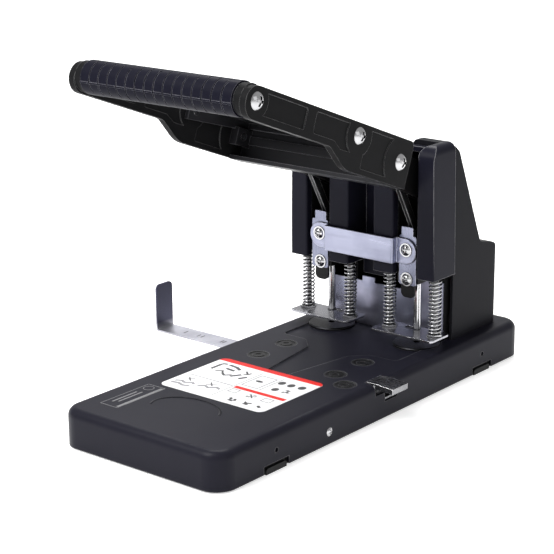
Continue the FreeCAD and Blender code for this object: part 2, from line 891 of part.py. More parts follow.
def make_rear_cover():
    """Hollow cover behind the towers, its roof lower in the middle, with two screw bosses inside."""
    hollow = rear_solid(rear_wall)
    wide = rear_half_width + cut_overrun
    above = rear_top_z + cut_overrun
    dip = [(-rear_low_half_width, rear_low_top_z), (rear_low_half_width, rear_low_top_z),
           (rear_low_half_width, rear_top_z), (wide, rear_top_z), (wide, above), (-wide, above),
           (-wide, rear_top_z), (-rear_low_half_width, rear_top_z)]
    ear = rear_ear_radius
    low_roof = front_prism(dip, [ear / 2, ear / 2, ear, 0, 0, 0, 0, ear], tower_rear_y, rear_end_y)
    deep_roof = box(-rear_low_half_width - rear_wall, rear_low_half_width + rear_wall,
                    tower_rear_y, rear_end_y, rear_low_top_z - rear_wall, rear_top_z + cut_overrun)
    brow = box(-rear_half_width, rear_half_width, tower_rear_y, tower_rear_y + cover_clearance + rear_wall,
               cover_roof_bottom_z, rear_top_z + cut_overrun)
    hollow = hollow.cut([deep_roof, brow])
    low = box(-rear_half_width + rear_wall, rear_half_width - rear_wall,
              tower_rear_y - cut_overrun, rear_foot_y + cut_overrun, base_height - cut_overrun,
              rear_low_top_z - rear_wall)
    foot = box(-rear_half_width + rear_wall, rear_half_width - rear_wall,
               rear_foot_y - cut_overrun, rear_end_y - rear_wall - rear_corner_radius,
               base_height - cut_overrun, base_height + rear_wall)
    shell = rear_solid(0).cut([hollow, low, foot, low_roof])
    tie_y, tie_z = tie_places[1]
    bosses = [rod_y_axis(cover_boss_radius, tie_y + tie_spacer_radius + cover_clearance,
                         rear_end_y - rear_wall, side * half_pitch, tie_z) for side in (-1, 1)]
    holes = [rod_y_axis(cover_screw_radius + running_clearance, tie_y, rear_end_y + cut_overrun,
                        side * half_pitch, tie_z) for side in (-1, 1)]
    return fuse([shell] + bosses).cut(holes)


def make_cover_screws():
    """Two long screws through the rear cover into the lower rear spacers."""
    screws = []
    tie_z = tie_places[1][1]
    for side in (-1, 1):
        head = cross_head(cover_screw_head_radius, cover_screw_head_height)
        length = rear_end_y - cover_screw_end_y
        shank = Part.makeCylinder(cover_screw_radius, length, Vector(0, 0, -length))
        screws.append(turn_to_rear(fuse([head, shank]), side * half_pitch, rear_end_y, tie_z))
    return Part.makeCompound(screws)


def make_back_plate():
    """Polished steel wall behind the springs, standing on the chassis."""
    body = box(-back_plate_half_width, back_plate_half_width, back_plate_y,
               back_plate_y + back_plate_thickness, chassis_top_z, back_plate_top_z)
    rear = back_plate_y + back_plate_thickness
    tab = box(back_plate_tab_x - back_plate_tab_width / 2, back_plate_tab_x + back_plate_tab_width / 2,
              back_plate_y, rear, back_plate_top_z, back_plate_top_z + back_plate_tab_height)
    step = box(back_plate_step_x, back_plate_half_width, back_plate_y, rear,
               back_plate_top_z, back_plate_top_z + back_plate_step_height)
    notches = [rod_z(die_radius + cover_clearance, chassis_top_z - cut_overrun,
                     die_top_z + cover_clearance, side * half_pitch, punch_row_y) for side in (-1, 1)]
    return fuse([body, tab, step]).cut(notches)


def make_cheek(x0):
    """One C-shaped steel cheek, its jaw resting on the rod bridge."""
    places = [(cheek_foot_front_y, chassis_top_z), (cheek_foot_rear_y, chassis_top_z),
              (cheek_foot_rear_y, cheek_heel_z), (cheek_waist_y, cheek_waist_z),
              (cheek_neck_y, cheek_neck_z), (cheek_neck_y - cheek_thickness, cheek_top_z),
              (cheek_top_front_y, cheek_top_z), (cheek_jaw_front_y, cheek_jaw_corner_z),
              (cheek_jaw_front_y, bridge_top_z), (bridge_rear_y, bridge_top_z),
              (cheek_foot_front_y, cheek_throat_z)]
    radii = [0, 0, cheek_thickness, cheek_thickness, cheek_thickness, 0, 0, 0, 0, 0, 0]
    cheek = side_prism(places, radii, x0, x0 + cheek_thickness)
    holes = [rod_x(shaft_diameter / 2, x0 - cut_overrun, x0 + cheek_thickness + cut_overrun,
                   shaft_y, shaft_z)]
    for y, z in tie_places:
        holes.append(rod_x(tie_radius, x0 - cut_overrun, x0 + cheek_thickness + cut_overrun, y, z))
    return cheek.cut(holes)


def make_cheeks(side):
    pair = [make_cheek(slot_left - cheek_thickness), make_cheek(slot_right)]
    if side < 0:
        pair = [mirror_x(cheek) for cheek in pair]
    return Part.makeCompound(pair)


def make_tie_bolts():
    """Three bolts across all four cheeks, with a head at one end and a nut at the other."""
    end = slot_right + cheek_thickness
    bolts = []
    for y, z in tie_places:
        shank = rod_x(tie_radius, -end, end, y, z)
        head = rod_x(tie_head_radius, end, end + tie_head_height, y, z)
        nut = hexagon_x(2 * tie_head_radius, -end - tie_head_height, -end, y, z)
        bolts.append(fuse([shank, head, nut]))
    return Part.makeCompound(bolts)


def make_tie_spacers():
    """Tubes on the tie bolts that keep the cheeks apart."""
    spans = [(-slot_right, -slot_left), (-slot_left + cheek_thickness, slot_left - cheek_thickness),
             (slot_left, slot_right)]
    tubes = []
    for y, z in tie_places:
        for x0, x1 in spans:
            tubes.append(rod_x(tie_spacer_radius, x0, x1, y, z).cut(rod_x(tie_radius, x0, x1, y, z)))
    tie_y, tie_z = tie_places[1]
    holes = [rod_y_axis(cover_screw_radius, tie_y + tie_radius, tie_y + 2 * tie_spacer_radius,
                        side * half_pitch, tie_z) for side in (-1, 1)]
    return Part.makeCompound([tube.cut(holes) for tube in tubes])


def shaft_groove_places():
    """Middle of the retaining ring at each end of the right-hand shaft."""
    return [slot_left - cheek_thickness - shaft_groove_inset,
            slot_right + cheek_thickness + shaft_groove_inset]


def ring_tube(middle, thickness, radius):
    """Tube round the shaft's axis that leaves the groove's core free."""
    tube = rod_x(radius, middle - thickness / 2, middle + thickness / 2, shaft_y, shaft_z)
    core = rod_x(shaft_diameter / 2 - ring_thickness / 2, middle - thickness, middle + thickness,
                 shaft_y, shaft_z)
    return tube.cut(core)


def make_lever_shafts():
    """One short shaft through each pair of cheeks, grooved near both ends."""
    shaft = rod_x(shaft_diameter / 2, slot_left - cheek_thickness - shaft_overhang,
                  slot_right + cheek_thickness + shaft_overhang, shaft_y, shaft_z)
    grooves = [ring_tube(middle, ring_thickness, ring_radius) for middle in shaft_groove_places()]
    return both_sides([shaft.cut(grooves)])


def make_shaft_rings():
    rings = []
    for middle in shaft_groove_places():
        mouth = box(middle - ring_thickness, middle + ring_thickness, shaft_y - shaft_diameter / 3,
                    shaft_y + shaft_diameter / 3, shaft_z - ring_radius - cut_overrun, shaft_z)
        rings.append(ring_tube(middle, ring_thickness, ring_radius).cut(mouth))
    return both_sides(rings)


def make_shaft_spacers():
    """Tubes on the shaft that keep each inner lever in the middle of its slot."""
    tubes = []
    for side in (-1, 1):
        spans = [(slot_left, half_pitch - inner_half - slide_clearance),
                 (half_pitch + inner_half + slide_clearance, slot_right)]
        for near, far in spans:
            x0 = min(side * near, side * far)
            x1 = max(side * near, side * far)
            tube = rod_x(spacer_radius, x0, x1, shaft_y, shaft_z)
            tubes.append(tube.cut(rod_x(shaft_diameter / 2, x0, x1, shaft_y, shaft_z)))
    return Part.makeCompound(tubes)


# Rods, pressure plates and springs

def make_rod_bridge(side):
    """Steel bridge under the cheeks' jaws that the two guide rods of one head hang from."""
    x0 = tower_inner_x + tower_wall + wing_end_gap
    x1 = tower_half_width - tower_wall - wing_end_gap - tower_taper
    front = tower_front_y + tower_flange_depth + cut_overrun
    plate = box(x0, x1, front, bridge_shoulder_y, bridge_bottom_z, bridge_top_z)
    tail = box(slot_left - cheek_thickness, slot_right + cheek_thickness, bridge_shoulder_y,
               bridge_rear_y, bridge_bottom_z, bridge_top_z)
    notch = box(slot_left + cover_clearance, slot_right - cover_clearance, front - cut_overrun,
                bridge_notch_rear_y, bridge_bottom_z - cut_overrun, bridge_top_z + cut_overrun)
    holes = [rod_z(rod_diameter / 2, bridge_bottom_z - cut_overrun, bridge_top_z + cut_overrun, x, rod_y)
             for x in rod_places]
    bridge = fuse([plate, tail]).cut([notch] + holes)
    return mirror_x(bridge) if side < 0 else bridge


def make_guide_rods(side):
    rods = []
    for x in rod_places:
        shank = rod_z(rod_diameter / 2, plate_bottom_z, bridge_top_z + nut_height + cut_overrun, x, rod_y)
        head = rod_z(rod_head_radius, plate_bottom_z - rod_head_height, plate_bottom_z, x, rod_y)
        rods.append(fuse([shank, head]))
    if side < 0:
        rods = [mirror_x(rod) for rod in rods]
    return Part.makeCompound(rods)


def make_rod_nuts():
    nuts = []
    for x in rod_places:
        nut = hexagon_z(nut_across, bridge_top_z, bridge_top_z + nut_height, x, rod_y)
        nuts.append(nut.cut(rod_z(rod_diameter / 2, bridge_top_z, bridge_top_z + nut_height, x, rod_y)))
    return both_sides(nuts)


def make_pressure_plate(side):
    x0 = half_pitch - plate_inset - plate_width / 2
    y0 = punch_row_y - plate_lead - plate_depth / 2
    plate = rounded_block(x0, x0 + plate_width, y0, y0 + plate_depth,
                          plate_bottom_z, plate_top_z, plate_corner_radius)
    low = plate_bottom_z - cut_overrun
    high = plate_top_z + cut_overrun
    hole_radius = punch_diameter / 2 + plate_hole_clearance
    slot = rod_z(hole_radius, low, high, half_pitch, punch_row_y)
    slot = slot.fuse(box(half_pitch - plate_slot_length + hole_radius, half_pitch,
                         punch_row_y - hole_radius, punch_row_y + hole_radius, low, high))
    holes = [rod_z(rod_diameter / 2, low, high, x, rod_y) for x in rod_places]
    plate = plate.cut([slot] + holes)
    return mirror_x(plate) if side < 0 else plate


def make_spring_seats():
    """Hexagonal seats under the four springs, tight on the rods."""
    seats = []
    for x in rod_places:
        seat = hexagon_z(seat_radius * math.sqrt(3), plate_top_z, spring_bottom_z, x, rod_y)
        seats.append(seat.cut(rod_z(rod_diameter / 2, plate_top_z, spring_bottom_z, x, rod_y)))
    return both_sides(seats)


def arc_to(start, corner, end):
    """Circular arc from start to end whose tangents meet at the corner."""
    chord_middle = start.add(end).multiply(0.5)
    half_chord = start.distanceToPoint(chord_middle)
    cosine = half_chord / start.distanceToPoint(corner)
    share = cosine / (1 + cosine)
    middle = chord_middle.add(corner.sub(chord_middle).multiply(share))
    return Part.Arc(start, middle, end).toShape()


def biarc(start, start_way, end, end_way):
    """Two arcs from start to end that leave and arrive along the given ways."""
    span = end.sub(start)
    turn = 1 - start_way.dot(end_way)
    along = span.dot(start_way.add(end_way))
    reach = (-along + math.sqrt(along * along + 2 * turn * span.dot(span))) / (2 * turn)
    first_corner = start.add(Vector(start_way).multiply(reach))
    second_corner = end.sub(Vector(end_way).multiply(reach))
    middle = first_corner.add(second_corner).multiply(0.5)
    return [arc_to(start, first_corner, middle), arc_to(middle, second_corner, end)]


def coil_place(angle, radius, rise_per_radian, x, y, z):
    """Place and direction on a helix that starts at height z."""
    place = Vector(x + radius * math.cos(angle), y + radius * math.sin(angle), z + rise_per_radian * angle)
    way = Vector(-radius * math.sin(angle), radius * math.cos(angle), rise_per_radian)
    way.normalize()
    return place, way


def make_spring(x):
    """One unbroken coil between its seat and the head's wing, its ends turned straight up."""
    radius = (spring_diameter - spring_wire) / 2
    bottom = spring_bottom_z
    top = wing_bottom_z - spring_end_clearance
    upward = Vector(0, 0, 1)
    quarter = math.pi / 2
    lead = spring_wire * 2
    total = 2 * math.pi * spring_turns
    rise = (top - bottom - 2 * spring_wire - 2 * lead) / (total - 2 * quarter)
    start_z = bottom + spring_wire + lead - rise * quarter
    foot = Vector(x + radius, rod_y, bottom)
    foot_end = Vector(x + radius, rod_y, bottom + spring_wire)
    edges = [Part.LineSegment(foot, foot_end).toShape()]
    place, way = coil_place(quarter, radius, rise, x, rod_y, start_z)
    edges += biarc(foot_end, upward, place, way)
    steps = 4 * spring_turns - 2
    places = [place]
    for step in range(1, steps + 1):
        following, following_way = coil_place(quarter * (1 + step), radius, rise, x, rod_y, start_z)
        edges += biarc(place, way, following, following_way)
        place = following
        way = following_way
        places.append(place)
    head_start = Vector(x + radius, rod_y, top - spring_wire)
    edges += biarc(place, way, head_start, upward)
    edges.append(Part.LineSegment(head_start, Vector(x + radius, rod_y, top)).toShape())
    path = Part.Wire(edges)
    ring = Part.Wire([Part.Circle(foot, upward, spring_wire / 2).toShape()])
    shell = Part.BRepOffsetAPI.MakePipeShell(path)
    shell.add(ring)
    shell.build()
    shell.makeSolid()
    gap = least_self_gap(path) - spring_wire
    return shell.shape(), gap


def least_self_gap(path):
    """Least distance between points of the path that lie about a turn or more apart."""
    points = path.discretize(Number=points_per_turn * spring_turns)
    apart = points_per_turn // 2
    least = spring_diameter
    for index in range(len(points)):
        for other in range(index + apart, min(len(points), index + 3 * apart)):
            least = min(least, points[index].distanceToPoint(points[other]))
    return least


# Heads: block, pin, bushes, face plate and strap, which move as one

def make_head_block(side):
    half = head_width / 2
    body = box(half_pitch - half, half_pitch + half, head_front_y, head_rear_y, head_seat_z, head_top_z)
    nose = front_prism(rectangle(half_pitch - head_nose_half_width, half_pitch + head_nose_half_width,
                                 head_bottom_z, head_seat_z),
                       [head_nose_radius, head_nose_radius, 0, 0],
                       head_front_y, head_front_y + head_nose_thickness)
    wing = box(tower_inner_x + tower_wall + wing_end_gap, tower_half_width - tower_wall - wing_end_gap,
               rod_y - wing_half_depth, rod_y + wing_half_depth, wing_bottom_z, wing_top_z)
    lugs = []
    for end in (-1, 1):
        first = half_pitch + end * inner_gap / 2
        second = half_pitch + end * inner_half
        lugs.append(box(min(first, second), max(first, second), head_front_y, lug_rear_y,
                        head_top_z, head_top_z + lug_height))
    block = fuse([body, nose, wing] + lugs)
    tools = [rod_z(rod_diameter / 2 + running_clearance + bush_wall, wing_bottom_z - cut_overrun,
                   wing_top_z + cut_overrun, x, rod_y) for x in rod_places]
    tools.append(rod_z(punch_diameter / 2, head_seat_z - cut_overrun, head_seat_z + pin_seat_depth,
                       half_pitch, punch_row_y))
    tools.append(link_foot_slot())
    tools.append(box(half_pitch - inner_gap / 2, half_pitch + inner_gap / 2, head_front_y - cut_overrun,
                     lug_rear_y, link_foot_z - link_eye_radius - cut_overrun,
                     head_top_z + lug_height + cut_overrun))
    for z in (strap_screw_z, face_screw_z):
        tools.append(rod_y_axis(head_screw_radius, head_front_y - cut_overrun,
                                head_front_y + head_screw_length, half_pitch, z))
    block = block.cut(tools)
    return mirror_x(block) if side < 0 else block


def link_foot_slot():
    """Long hole in the lugs: the link's lower pin drifts forwards in it through mid-stroke."""
    radius = link_pin_radius + link_pin_play
    x0 = half_pitch - inner_half - cut_overrun
    x1 = half_pitch + inner_half + cut_overrun
    rear = rod_x(radius, x0, x1, link_foot_y, link_foot_z)
    front = rod_x(radius, x0, x1, link_foot_y - link_arc_drift, link_foot_z)
    middle = box(x0, x1, link_foot_y - link_arc_drift, link_foot_y,
                 link_foot_z - radius, link_foot_z + radius)
    return fuse([rear, front, middle])


def make_head_bushes():
    """Flanged bushes pressed into the wings, running on the rods."""
    bushes = []
    for x in rod_places:
        barrel = rod_z(rod_diameter / 2 + running_clearance + bush_wall, wing_bottom_z, wing_top_z, x, rod_y)
        flange = rod_z(rod_diameter / 2 + running_clearance + bush_wall + bush_flange, wing_top_z,
                       wing_top_z + bush_flange_height, x, rod_y)
        bore = rod_z(rod_diameter / 2 + running_clearance, wing_bottom_z - cut_overrun,
                     wing_top_z + bush_flange_height + cut_overrun, x, rod_y)
        bushes.append(fuse([barrel, flange]).cut(bore))
    return both_sides(bushes)


def make_punch_pin(side):
    """Hardened punch with a hollow-ground tip, seated in the head block."""
    top = head_seat_z + pin_seat_depth
    pin = rod_z(punch_diameter / 2, punch_tip_height, top, side * half_pitch, punch_row_y)
    depth = punch_diameter / 2 * math.tan(math.radians(punch_tip_angle))
    wedge = Part.Face(Part.makePolygon([
        Vector(side * half_pitch - punch_diameter, punch_row_y - punch_diameter, punch_tip_height - depth),
        Vector(side * half_pitch, punch_row_y - punch_diameter, punch_tip_height + depth),
        Vector(side * half_pitch + punch_diameter, punch_row_y - punch_diameter, punch_tip_height - depth),
        Vector(side * half_pitch - punch_diameter, punch_row_y - punch_diameter, punch_tip_height - depth)]))
    return pin.cut(wedge.extrude(Vector(0, 2 * punch_diameter, 0)))


def make_face_plate(side):
    x0 = half_pitch - face_plate_left
    x1 = half_pitch + face_plate_right
    places = [(x0, face_plate_bottom_z), (x1, face_plate_bottom_z), (x1, face_plate_step_z),
              (half_pitch + face_plate_neck_half, face_plate_step_z),
              (half_pitch + face_plate_neck_half, face_plate_top_z),
              (half_pitch - face_plate_neck_half, face_plate_top_z),
              (half_pitch - face_plate_neck_half, face_plate_step_z), (x0, face_plate_step_z)]
    edge = face_plate_thickness
    radii = [edge, edge, edge, 0, edge / 2, edge / 2, 0, edge]
    plate = front_prism(places, radii, head_front_y - face_plate_thickness, head_front_y)
    tools = [rod_y_axis(head_screw_radius, head_front_y - face_plate_thickness - cut_overrun,
                        head_front_y + cut_overrun, half_pitch, z) for z in (strap_screw_z, face_screw_z)]
    plate = plate.cut(tools)
    return mirror_x(plate) if side < 0 else plate


def make_strap():
    """Bent steel strap across the front, tying both heads together."""
    ear_rear = head_front_y - face_plate_thickness
    ear_front = ear_rear - strap_thickness
    front = ear_rear - strap_thickness - strap_standoff
    bend = slot_left + strap_side_gap
    right = [(bend + strap_thickness, front), (bend + strap_thickness, ear_front), (strap_ear_end, ear_front),
             (strap_ear_end, ear_rear), (bend, ear_rear), (bend, front + strap_thickness)]
    left = [(-x, y) for x, y in reversed(right)]
    inside = strap_bend_radius
    half_radii = [inside, inside / 2, 0, 0, inside, inside / 2]
    outline = right + left
    band = plan_prism(outline, half_radii + half_radii[::-1], strap_bottom_z, strap_bottom_z + strap_height)
    tools = []
    for side in (-1, 1):
        corner_block = box(half_pitch, strap_ear_end + cut_overrun, ear_front - cut_overrun,
                           ear_rear + cut_overrun, strap_bottom_z - cut_overrun,
                           strap_bottom_z + strap_height + cut_overrun)
        round_end = rod_y_axis(strap_height / 2, ear_front - 2 * cut_overrun, ear_rear + 2 * cut_overrun,
                               strap_ear_end - strap_height / 2, strap_bottom_z + strap_height / 2)
        middle = box(0, strap_ear_end - strap_height / 2, ear_front - 2 * cut_overrun,
                     ear_rear + 2 * cut_overrun, strap_bottom_z - 2 * cut_overrun,
                     strap_bottom_z + strap_height + 2 * cut_overrun)
        trim = corner_block.cut([round_end, middle])
        hole = rod_y_axis(head_screw_radius, ear_front - cut_overrun, ear_rear + cut_overrun,
                          half_pitch, strap_screw_z)
        tools += [trim, hole] if side > 0 else [mirror_x(trim), mirror_x(hole)]
    return band.cut(tools)


def make_head_screws():
    """Cross-head screws with washers: the upper pair holds the strap, the lower pair the face plates."""
    ear_front = head_front_y - face_plate_thickness - strap_thickness
    screws = []
    for z, seat in ((strap_screw_z, ear_front), (face_screw_z, head_front_y - face_plate_thickness)):
        washer = Part.makeCylinder(head_screw_washer_radius, head_screw_washer_height)
        head = cross_head(head_screw_head_radius, head_screw_head_height)
        head.translate(Vector(0, 0, head_screw_washer_height))
        length = head_front_y + head_screw_length - seat
        shank = Part.makeCylinder(head_screw_radius, length, Vector(0, 0, -length))
        screws.append(turn_to_front(fuse([washer, head, shank]), half_pitch, seat, z))
    return both_sides(screws)


# Links

def make_link(side):
    """Flat steel link from the inner lever down to the head."""
    x0 = half_pitch - link_thickness / 2
    x1 = half_pitch + link_thickness / 2
    run_y = link_foot_y - link_head_y
    run_z = link_foot_z - link_head_z
    length = math.hypot(run_y, run_z)
    across_y = -run_z / length * link_half_width
    across_z = run_y / length * link_half_width
    bar = side_prism([(link_head_y - across_y, link_head_z - across_z),
                      (link_foot_y - across_y, link_foot_z - across_z),
                      (link_foot_y + across_y, link_foot_z + across_z),
                      (link_head_y + across_y, link_head_z + across_z)], [0] * 4, x0, x1)
    eyes = [rod_x(link_eye_radius, x0, x1, link_head_y, link_head_z),
            rod_x(link_eye_radius, x0, x1, link_foot_y, link_foot_z)]
    link = fuse([bar] + eyes)
    holes = [rod_x(link_pin_radius + running_clearance, x0 - cut_overrun, x1 + cut_overrun,
                   link_head_y, link_head_z),
             rod_x(link_pin_radius, x0 - cut_overrun, x1 + cut_overrun, link_foot_y, link_foot_z)]
    link = link.cut(holes)
    return mirror_x(link) if side < 0 else link


def make_link_foot_pin(side):
    """Pin fixed in the link's lower eye, loose in the head's long hole."""
    pin = rod_x(link_pin_radius, half_pitch - inner_half, half_pitch + inner_half, link_foot_y, link_foot_z)
    return mirror_x(pin) if side < 0 else pin


def make_link_head_pins():
    """Pins fixed in the inner levers that the links hang from."""
    end = inner_half + cut_overrun
    return both_sides([rod_x(link_pin_radius, half_pitch - end, half_pitch + end, link_head_y, link_head_z)])


# Lever: arms, yoke, inner levers, grip

def arm_outline():
    """(u, v) places round the arm with their corner radii, from the rear top corner."""
    return [((arm_rear, arm_top - arm_corner_chamfer), 0), ((arm_rear, arm_heel_bottom), 0),
            ((arm_heel_end, arm_heel_bottom), arm_heel_radius),
            ((arm_throat_end, arm_front_bottom), arm_throat_radius),
            ((grip_reach, arm_front_bottom), 0), ((grip_reach, arm_top), 0),
            ((arm_rear + arm_corner_chamfer, arm_top), 0)]


def make_arm(side):
    """Cast side arm with shallow pockets in both faces and a hub for the grip's shaft."""
    corners = arm_outline()
    body = side_prism([lever_place(*corner[0]) for corner in corners], [corner[1] for corner in corners],
                      arm_inner_x, arm_outer_x)
    end_lift = (arm_top + arm_front_bottom) / 2
    end_radius = (arm_top - arm_front_bottom) / 2
    end_y, end_z = lever_place(grip_reach, end_lift)
    nose = rod_x(end_radius, arm_inner_x, arm_outer_x, end_y, end_z)
    grip_y, grip_z = lever_place(grip_reach, grip_lift)
    hub = rod_x(arm_end_radius - grip_groove_depth, arm_inner_x - arm_hub_length, arm_inner_x, grip_y, grip_z)
    arm = fuse([body, nose, hub])
    tools = [rod_x(bolt_radius, arm_inner_x - arm_hub_length - cut_overrun, arm_outer_x + cut_overrun,
                   grip_y, grip_z),
             rod_x(grip_shaft_diameter / 2, arm_inner_x - arm_hub_length - cut_overrun, arm_inner_x,
                   grip_y, grip_z)]
    for u, v in arm_bolt_places():
        y, z = lever_place(u, v)
        tools.append(rod_x(bolt_radius, arm_inner_x - cut_overrun, arm_outer_x + cut_overrun, y, z))
    faces = [(arm_inner_x - cut_overrun, arm_inner_x + arm_pocket_depth),
             (arm_outer_x - arm_pocket_depth, arm_outer_x + cut_overrun)]
    for x0, x1 in faces:
        tools += arm_pockets(x0, x1)
    arm = set_lever(arm.cut(tools))
    return mirror_x(arm) if side < 0 else arm


def arm_bolt_places():
    return [(arm_bolt_rear, arm_bolt_rear_lift), (arm_bolt_front, arm_bolt_front_lift)]


def arm_boss(radius, u, v, x0, x1):
    """Round island that stays raised inside a pocket."""
    y, z = lever_place(u, v)
    return rod_x(radius, x0, x1, y, z)


def arm_pockets(x0, x1):
    """Tools for the front, middle and rear pocket of one face; the bosses round the screws stay."""
    top = arm_top - arm_top_rib
    low = arm_front_bottom + arm_low_rib
    heel = arm_heel_bottom + arm_heel_rib
    split = arm_bolt_front + arm_split_share * arm_front_run
    shoulder = arm_bolt_front + arm_shoulder_share * arm_front_run
    hook_front = arm_bolt_front + arm_hook_share * arm_front_run
    hook_low = arm_front_bottom + arm_pocket_depth / 2
    rear_end = arm_bolt_front - arm_rear_pocket_inset
    front = [(grip_reach, top), (split, top), (split, low), (grip_reach, low)]
    middle = [(split - arm_cross_rib, top), (arm_bolt_front, top), (arm_bolt_front, hook_low),
              (hook_front, hook_low), (shoulder, low), (split - arm_cross_rib, low)]
    rear = [(rear_end, top), (arm_bolt_rear, top), (arm_bolt_rear, heel), (rear_end, heel)]
    front_boss = arm_boss(arm_front_boss_radius, arm_bolt_front, arm_bolt_front_lift, x0, x1)
    rear_boss = arm_boss(arm_rear_boss_radius, arm_bolt_rear, arm_bolt_rear_lift, x0, x1)
    grip_boss = arm_boss(arm_end_radius, grip_reach, grip_lift, x0, x1)
    tools = []
    for places, bosses in ((front, [grip_boss]), (middle, [front_boss]), (rear, [front_boss, rear_boss])):
        yz = [lever_place(u, v) for u, v in places]
        tools.append(side_prism(yz, [arm_pocket_radius] * len(yz), x0, x1).cut(bosses))
    return tools


def lever_slab(x0, x1, u0, u1, v0, v1):
    """Block in the lever's own frame, before it is swung up."""
    return box(x0, x1, -u1, -u0, v0, v1)


def make_yoke():
    """Bent steel channel across the arms' rear ends: web, flanges, side cheeks and two bolt lugs."""
    half = arm_inner_x
    rear = arm_rear
    face = rear + yoke_web
    inner = half - yoke_wall
    pieces = [lever_slab(-half, half, rear, face, yoke_bottom, yoke_top),
              lever_slab(-half, half, rear, rear + yoke_top_flange, yoke_top - yoke_wall, yoke_top),
              lever_slab(-half, half, rear, rear + yoke_bottom_flange, yoke_bottom, yoke_bottom + yoke_wall),
              lever_slab(-half, half, face, face + yoke_bead, yoke_bead_bottom, yoke_bead_top),
              lever_slab(-half, half, face, face + yoke_bead, yoke_cap_bottom, yoke_top)]
    cheek = side_prism([lever_place(rear, yoke_top), lever_place(rear, yoke_end_rear_bottom),
                        lever_place(yoke_end_reach, yoke_end_front_bottom),
                        lever_place(yoke_end_reach, yoke_top)], [0] * 4, inner, half)
    lug = lever_slab(half - yoke_lug_width, half, rear, yoke_lug_reach, yoke_lug_bottom, yoke_end_rear_bottom)
    for piece in (cheek, lug):
        pieces += [piece, mirror_x(piece)]
    holes = []
    for u, v in arm_bolt_places():
        y, z = lever_place(u, v)
        holes.append(rod_x(bolt_radius, -half - cut_overrun, half + cut_overrun, y, z))
    return set_lever(fuse(pieces).cut(holes))


def make_inner_lever(side):
    """Pair of steel plates from the shaft to the yoke's web, with the link between them."""
    head_u = (shaft_y - link_head_y) * math.cos(slope) + (link_head_z - shaft_z) * math.sin(slope)
    head_v = (link_head_z - shaft_z) * math.cos(slope) - (shaft_y - link_head_y) * math.sin(slope)
    plates = []
    for end in (-1, 1):
        first = half_pitch + end * inner_gap / 2
        second = half_pitch + end * inner_half
        x0 = min(first, second)
        x1 = max(first, second)
        bar = side_prism([lever_place(0, inner_eye_radius), lever_place(0, -inner_eye_radius),
                          lever_place(head_u, head_v - inner_link_radius),
                          lever_place(arm_rear, yoke_bottom + yoke_wall),
                          lever_place(arm_rear, yoke_top - yoke_wall)], [0] * 5, x0, x1)
        eye = rod_x(inner_eye_radius, x0, x1, 0, 0)
        plate = fuse([bar, eye])
        head_y, head_z = lever_place(head_u, head_v)
        bore = rod_x(shaft_diameter / 2 + running_clearance + lever_bush_wall, x0 - cut_overrun,
                     x1 + cut_overrun, 0, 0)
        pin_hole = rod_x(link_pin_radius, x0 - cut_overrun, x1 + cut_overrun, head_y, head_z)
        plates.append(set_lever(plate.cut([bore, pin_hole])))
    if side < 0:
        plates = [mirror_x(plate) for plate in plates]
    return Part.makeCompound(plates)


def make_lever_bushes():
    """Bronze bushes pressed into the inner levers, running on the shaft."""
    bushes = []
    for end in (-1, 1):
        first = half_pitch + end * inner_gap / 2
        second = half_pitch + end * inner_half
        x0 = min(first, second)
        x1 = max(first, second)
        barrel = rod_x(shaft_diameter / 2 + running_clearance + lever_bush_wall, x0, x1, shaft_y, shaft_z)
        bore = rod_x(shaft_diameter / 2 + running_clearance, x0 - cut_overrun, x1 + cut_overrun,
                     shaft_y, shaft_z)
        bushes.append(barrel.cut(bore))
    return both_sides(bushes)


def make_arm_bolts():
    """Screws through the arms: the rear pair ends in the yoke's lugs, the front pair in its side cheeks."""
    bolts = []
    for place, grip_width in zip(arm_bolt_places(), (yoke_lug_width, yoke_wall)):
        y, z = lever_place(*place)
        length = arm_thickness + grip_width
        shank = Part.makeCylinder(bolt_radius, length, Vector(0, 0, -length))
        bolt = fuse([cross_head(bolt_head_radius, bolt_head_height), shank])
        bolts.append(set_lever(turn_to_x(bolt, arm_outer_x, y, z)))
    return both_sides(bolts)


def make_grip_screws():
    y, z = lever_place(grip_reach, grip_lift)
    length = arm_thickness + grip_screw_depth
    shank = Part.makeCylinder(bolt_radius, length, Vector(0, 0, -length))
    screw = fuse([cross_head(bolt_head_radius, bolt_head_height), shank])
    return both_sides([set_lever(turn_to_x(screw, arm_outer_x, y, z))])


def make_grip_shaft():
    y, z = lever_place(grip_reach, grip_lift)
    shaft = rod_x(grip_shaft_diameter / 2, -arm_inner_x, arm_inner_x, y, z)
    depth = grip_screw_depth
    ends = [rod_x(bolt_radius, arm_inner_x - depth, arm_inner_x + cut_overrun, y, z),
            rod_x(bolt_radius, -arm_inner_x - cut_overrun, -arm_inner_x + depth, y, z)]
    return set_lever(shaft.cut(ends))


def make_grip_sleeve():
    """Ribbed rubber sleeve: rings side by side with a narrow groove between each pair."""
    y, z = lever_place(grip_reach, grip_lift)
    sleeve = rod_x(grip_diameter / 2, -grip_half_length, grip_half_length, y, z)
    pitch = 2 * grip_half_length / grip_rib_count
    tools = [rod_x(grip_shaft_diameter / 2, -grip_half_length - cut_overrun,
                   grip_half_length + cut_overrun, y, z)]
    for index in range(1, grip_rib_count):
        middle = -grip_half_length + index * pitch
        ring = rod_x(grip_diameter, middle - grip_groove_width / 2, middle + grip_groove_width / 2, y, z)
        core = rod_x(grip_diameter / 2 - grip_groove_depth, middle - grip_groove_width,
                     middle + grip_groove_width, y, z)
        tools.append(ring.cut(core))
    ridge = box(-grip_half_length, grip_half_length, -grip_diameter / 2 - grip_ridge_height, 0,
                -grip_ridge_width / 2, grip_ridge_width / 2)
    ridge.rotate(Vector(0, 0, 0), Vector(1, 0, 0), grip_ridge_angle)
    ridge.translate(Vector(0, y, z))
    return set_lever(fuse([sleeve, ridge]).cut(tools))


# Paper guide and its lock

